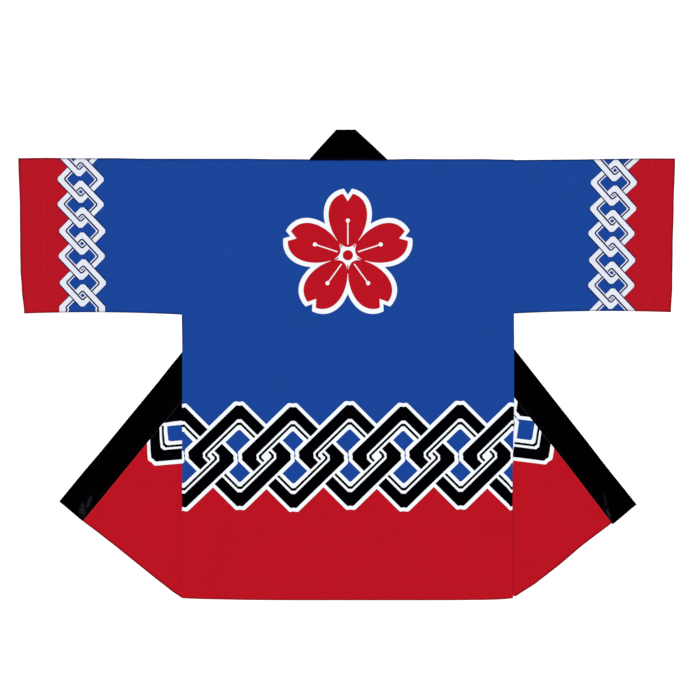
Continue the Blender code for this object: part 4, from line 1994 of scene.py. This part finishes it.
@dataclass
class Collar(Panel):
    """The collar: one straight strip, mitred at the neck and folded out with the fronts.

    Attributes:
        rows: the grid's steps across the strip.
        steps: its steps from the neck to the mitre, to the front's fold and to the end.
        stitched_short: how far before each end of the strip the stitching stops.
        left_streaks: the crests with painted sheen near the left end, from the end and from the seam.
        right_streaks: the same near the right end.
    """

    node: str = "collar"
    slot: str = "collar_cotton"
    flat_size: tuple[float, float] = (1.7786, 0.055)
    held: str = "folded"
    rows: int = 20
    steps: tuple[int, int, int] = (16, 40, 170)
    stitched_at: float = 0.0048
    stitched_short: float = 0.0040
    stitched_places: int = 2400
    creases: tuple[Crease, ...] = (
        Crease((0.462, -0.650), (0.502, -0.668), 0.0035, 0.0007),
        Crease((0.470, -0.640), (0.498, -0.662), 0.0030, 0.0006),
        Crease((0.455, -0.636), (0.476, -0.662), 0.0030, 0.0006),
        Crease((0.402, -0.500), (0.418, -0.540), 0.0060, 0.0005),
        Crease((0.330, -0.420), (0.352, -0.430), 0.0060, 0.0004),
    )
    left_streaks: tuple[Crease, ...] = (
        Crease((0.0270, 0.0245), (0.0065, 0.0010), 0.0038, 0.70),
        Crease((0.0460, 0.0185), (0.0210, 0.0080), 0.0040, 0.65),
        Crease((0.0180, 0.0200), (0.0060, 0.0100), 0.0030, 0.50),
    )
    right_streaks: tuple[Crease, ...] = (
        Crease((0.0520, 0.0210), (0.0280, 0.0085), 0.0026, 0.40),
        Crease((0.0300, 0.0085), (0.0100, 0.0018), 0.0030, 0.95),
    )

    def shape(self, flat: Array, upward: Array, share: Array) -> Array:
        """Folds both halves of the strip at the fronts' folds, then at the neck's mitres.

        The strip is as thick as the cloth at its seam and thickens on its outer face. Its ends
        move with the fronts' hems, its edges where each half's do, and what stands above the
        shoulder line leans to -x.

        Args:
            flat: places in the flat strip.
            upward: 1 on the outer face and -1 on the inner.
            share: the share of the wall at each point.

        Returns:
            The points where the collar lies.
        """
        thicker = soft_step((flat[..., 1] + CUT.neck_drop) / CUT.collar_thickening)
        outer = CUT.cloth / 2 + (CUT.collar_wall - CUT.cloth) * thicker
        middle, half_wall = (outer - CUT.cloth / 2) / 2, (outer + CUT.cloth / 2) / 2
        offset = middle + half_wall * upward * share
        result = np.zeros((*flat.shape[:-1], 3))
        for half in HALVES:
            here = flat[..., 0] * half.sign >= 0.0
            outward = np.stack([np.abs(flat[here][:, 0]), flat[here][:, 1]], axis=-1)
            points = np.concatenate([outward, offset[here][:, None]], axis=-1)
            near_hem = soft_step(1.0 - (CUT.strip_end - outward[:, 0]) / CUT.hem_ease)
            across = CUT.half_neck - CUT.neck_drop - outward[:, 1]
            points[:, 0] += between(half.collar_reach, across) * near_hem
            height = CUT.half_neck - CUT.neck_drop - outward[:, 0]
            part = np.clip((outward[:, 1] + CUT.neck_drop) / CUT.collar_width, 0.0, 1.0)
            points[:, 1] += between(half.collar_edge, height) * part
            points[:, 1] -= between(half.collar_seam, height) * (1.0 - part)
            points = fold(points, outward, CUT.collar_fold(half), CUT.front_radius, Turn.OVER)
            points = fold(points, outward, CUT.mitre_fold(), CUT.edge_radius, Turn.UNDER)
            folded = CUT.collar_fold(half).past(outward) > 0.0
            shows = CUT.outside(points) * folded
            points[..., 2] += shows * uneven(self.creases, points)
            points[..., 0] *= half.sign
            result[here] = points
        high = np.maximum(result[..., 1], 0.0)
        sags = [half.sagged(np.abs(result[..., 0])) for half in HALVES]
        at_neck = soft_step(1.0 - np.abs(result[..., 1]) / CUT.neck_ease)
        result[..., 1] -= np.where(result[..., 0] < 0.0, *sags) * at_neck
        shift, lean = np.array([half.neck_lean for half in HALVES]).T
        side = soft_step(result[..., 0] / (2 * CUT.half_neck) + 0.5)
        moved = shift[0] + (shift[1] - shift[0]) * side
        leant = lean[0] + (lean[1] - lean[0]) * side
        near_neck = soft_step(1.0 + np.minimum(result[..., 1], 0.0) / CUT.shoulder_ease)
        result[..., 0] += near_neck * moved - leant * high
        result[..., 2] += CUT.back_mid
        return result

    def worn(self, flat: Array) -> Array:
        """How much painted sheen the strip has: the streaks near each end, most on their crests.

        Args:
            flat: places in the flat strip.

        Returns:
            From 0 to 1 for each point.
        """
        to_end = CUT.strip_end - np.abs(flat[..., 0])
        from_end = np.stack([to_end, flat[..., 1] + CUT.neck_drop], axis=-1)
        worn = np.zeros(flat.shape[:-1])
        for half, streaks in ((LEFT, self.left_streaks), (RIGHT, self.right_streaks)):
            here = flat[..., 0] * half.sign > 0.0
            worn += here * lift_of(streaks, from_end)
        return np.minimum(worn, 1.0)

    def _half_strip(self, half: Half, y: Array) -> tuple[Array, Array]:
        """Places along one half of the strip, with rows of points on both sides of each fold.

        Args:
            half: the half of the coat.
            y: the height of each row of the flat strip.

        Returns:
            The places outward from the middle of the neck, one row for each y, and the share of
            the wall at each.
        """
        mitre, front = CUT.mitre_fold().across(y), CUT.collar_fold(half).across(y)
        at_mitre = math.pi * CUT.edge_radius / 2 / math.sqrt(0.5)
        at_front = math.pi * CUT.front_radius / 2 / math.sin(half.fold_angle)
        radius = CUT.collar_wall / 2
        to_mitre, to_front, to_end = self.steps
        stretches = (
            (np.zeros(len(y)), mitre - at_mitre, to_mitre),
            (mitre - at_mitre, mitre + at_mitre, BEND_STEPS),
            (mitre + at_mitre, front - at_front, to_front),
            (front - at_front, front + at_front, BEND_STEPS),
            (front + at_front, np.full(len(y), CUT.strip_end - radius), to_end),
        )
        runs = [
            start[:, None] + (stop - start)[:, None] * np.arange(steps)[None] / steps
            for start, stop, steps in stretches
        ]
        inset, edge_share = rounded(radius)
        runs.append(np.broadcast_to(CUT.strip_end - inset[::-1], (len(y), len(inset))))
        places = np.concatenate(runs, axis=1)
        share = np.ones(places.shape[1])
        share[-len(inset) :] = edge_share[::-1]
        return places, share

    def build(self) -> None:
        """Makes the collar, its stitching and its finish."""
        at_seam, at_edge = -CUT.lap - CUT.neck_drop, CUT.collar_width - CUT.neck_drop
        y, y_share = edged(at_seam, at_edge, self.rows, CUT.cloth / 2)
        left, left_share = self._half_strip(LEFT, y)
        right, right_share = self._half_strip(RIGHT, y)
        x = np.concatenate([-left[:, :0:-1], right], axis=1)
        x_share = np.concatenate([left_share[:0:-1], right_share])
        flat = np.stack([x, np.broadcast_to(y[:, None], x.shape)], axis=-1)
        share = np.minimum(y_share[:, None], x_share[None, :])
        whole = np.ones(share.shape)
        cloth = Wall(
            "collar_cloth",
            self.place(self.shape(flat, whole, share)),
            self.place(self.shape(flat, -whole, share)),
            flat,
            share <= 0.0,
            mirrored=True,
            # The painted sheen on the crease crests near the ends.
            marks={"painted_sheen": self.worn(flat)},
        ).build()
        reach = CUT.half_neck + CUT.length - self.stitched_short
        along = np.linspace(-reach, reach, self.stitched_places)
        run = level(along, self.stitched_at - CUT.neck_drop)
        ones = np.ones(len(run))
        stitched = self.place(self.shape(run, ones, ones))
        stitches = Seam("collar_stitches", Dye.COLLAR).build([stitched])
        finish = CollarPrint("collar_black_cotton")
        self.finish(cloth, finish.material(), (), [stitches])


SLEEVE_CREASES = {
    "left": (
        Crease((0.500, -0.060), (0.585, -0.020), 0.012, 0.0006),
        Crease((0.340, -0.200), (0.430, -0.120), 0.014, 0.0005),
        Crease((0.556, -0.030), (0.562, -0.260), 0.010, 0.0006),
    ),
    "right": (
        Crease((0.320, -0.108), (0.460, -0.026), 0.022, 0.0032),
        Crease((0.330, -0.020), (0.450, -0.012), 0.024, 0.0018),
        Crease((0.470, -0.190), (0.560, -0.240), 0.012, 0.0005),
        Crease((0.557, -0.020), (0.551, -0.255), 0.010, 0.0006),
    ),
}


@dataclass
class Studio:
    """The pale floor, the soft light and the camera over the coat.

    Attributes:
        pixel: how much of the surface one pixel of the picture shows.
        pixels: the picture's width and height.
        middle: the pixel under the middle of the coat's box.
        lens: of the camera, on a 36 mm wide sensor.
        floor_reach: from the middle of the floor to its edges.
        floor_drop: how far below the coat the floor lies.
        lamp_place: where it stands; it shines at the origin.
    """

    pixel: float = 0.001854
    pixels: float = 700.0
    middle: tuple[float, float] = (346.5, 364.75)
    lens: float = 85.0
    floor_reach: float = 6.0
    floor_drop: float = 0.0002
    lamp_place: tuple[float, float, float] = (-0.7, 0.9, 4.0)

    def build(self) -> None:
        """Makes the floor, the lights and the camera."""
        self._floor()
        self._light()
        self._camera()

    def _floor(self) -> None:
        """A wide plane just under the coat, with a matt white finish."""
        corners = np.array([[-1, -1, 0], [1, -1, 0], [1, 1, 0], [-1, 1, 0]]) * self.floor_reach
        points = corners - [0.0, 0.0, self.floor_drop]
        floor = mesh_object("floor", points, np.array([[0, 1, 2, 3]]))
        shade = Shade("floor_white")
        values = {
            "Base Color": (0.97, 0.97, 0.97, 1.0),
            "Emission Color": (1.0, 1.0, 1.0, 1.0),
            "Emission Strength": 0.20,
            "Roughness": 1.0,
            "Specular IOR Level": 0.0,
        }
        for name, value in values.items():
            shade.surface.inputs[name].default_value = value
        floor.data.materials.append(shade.material)

    def _light(self) -> None:
        """An even white sky and one distant lamp, almost overhead towards the top left."""
        world = bpy.data.worlds.new("studio")
        world.use_nodes = True
        sky = world.node_tree.nodes["Background"]
        sky.inputs["Color"].default_value = (1.0, 1.0, 1.0, 1.0)
        sky.inputs["Strength"].default_value = 0.38
        bpy.context.scene.world = world
        lamp = bpy.data.lights.new("broad_lamp", "SUN")
        lamp.angle = math.radians(18.0)
        lamp.energy = 2.34
        made = bpy.data.objects.new("broad_lamp", lamp)
        made.location = self.lamp_place
        aim = -np.array(made.location)
        made.rotation_euler = (
            math.atan2(math.hypot(aim[0], aim[1]), -aim[2]),
            0.0,
            math.atan2(aim[1], aim[0]) - math.pi / 2,
        )
        bpy.context.scene.collection.objects.link(made)
        bpy.context.scene.view_settings.view_transform = "Standard"

    def _camera(self) -> None:
        """A camera straight above, framed so that each pixel shows the size that was measured."""
        data = bpy.data.cameras.new("camera")
        data.lens, data.sensor_width = self.lens, 36.0
        made = bpy.data.objects.new("camera", data)
        width = self.pixel * self.pixels
        half_picture = self.pixels / 2
        made.location = (
            (half_picture - self.middle[0]) * self.pixel,
            (self.middle[1] - half_picture) * self.pixel,
            width * self.lens / data.sensor_width,
        )
        data.clip_end = 50.0
        bpy.context.scene.collection.objects.link(made)
        bpy.context.scene.camera = made


def main() -> None:
    """Builds the coat's panels in the order in which they lie, then the studio."""
    logging.basicConfig(level=logging.INFO, format="%(name)s: %(message)s")
    for half in HALVES:
        Front(half=half).build()
    Collar().build()
    for half in HALVES:
        Sleeve(half=half, creases=SLEEVE_CREASES[half.name]).build()
    Back().build()
    Studio().build()


if __name__ == "__main__":
    main()
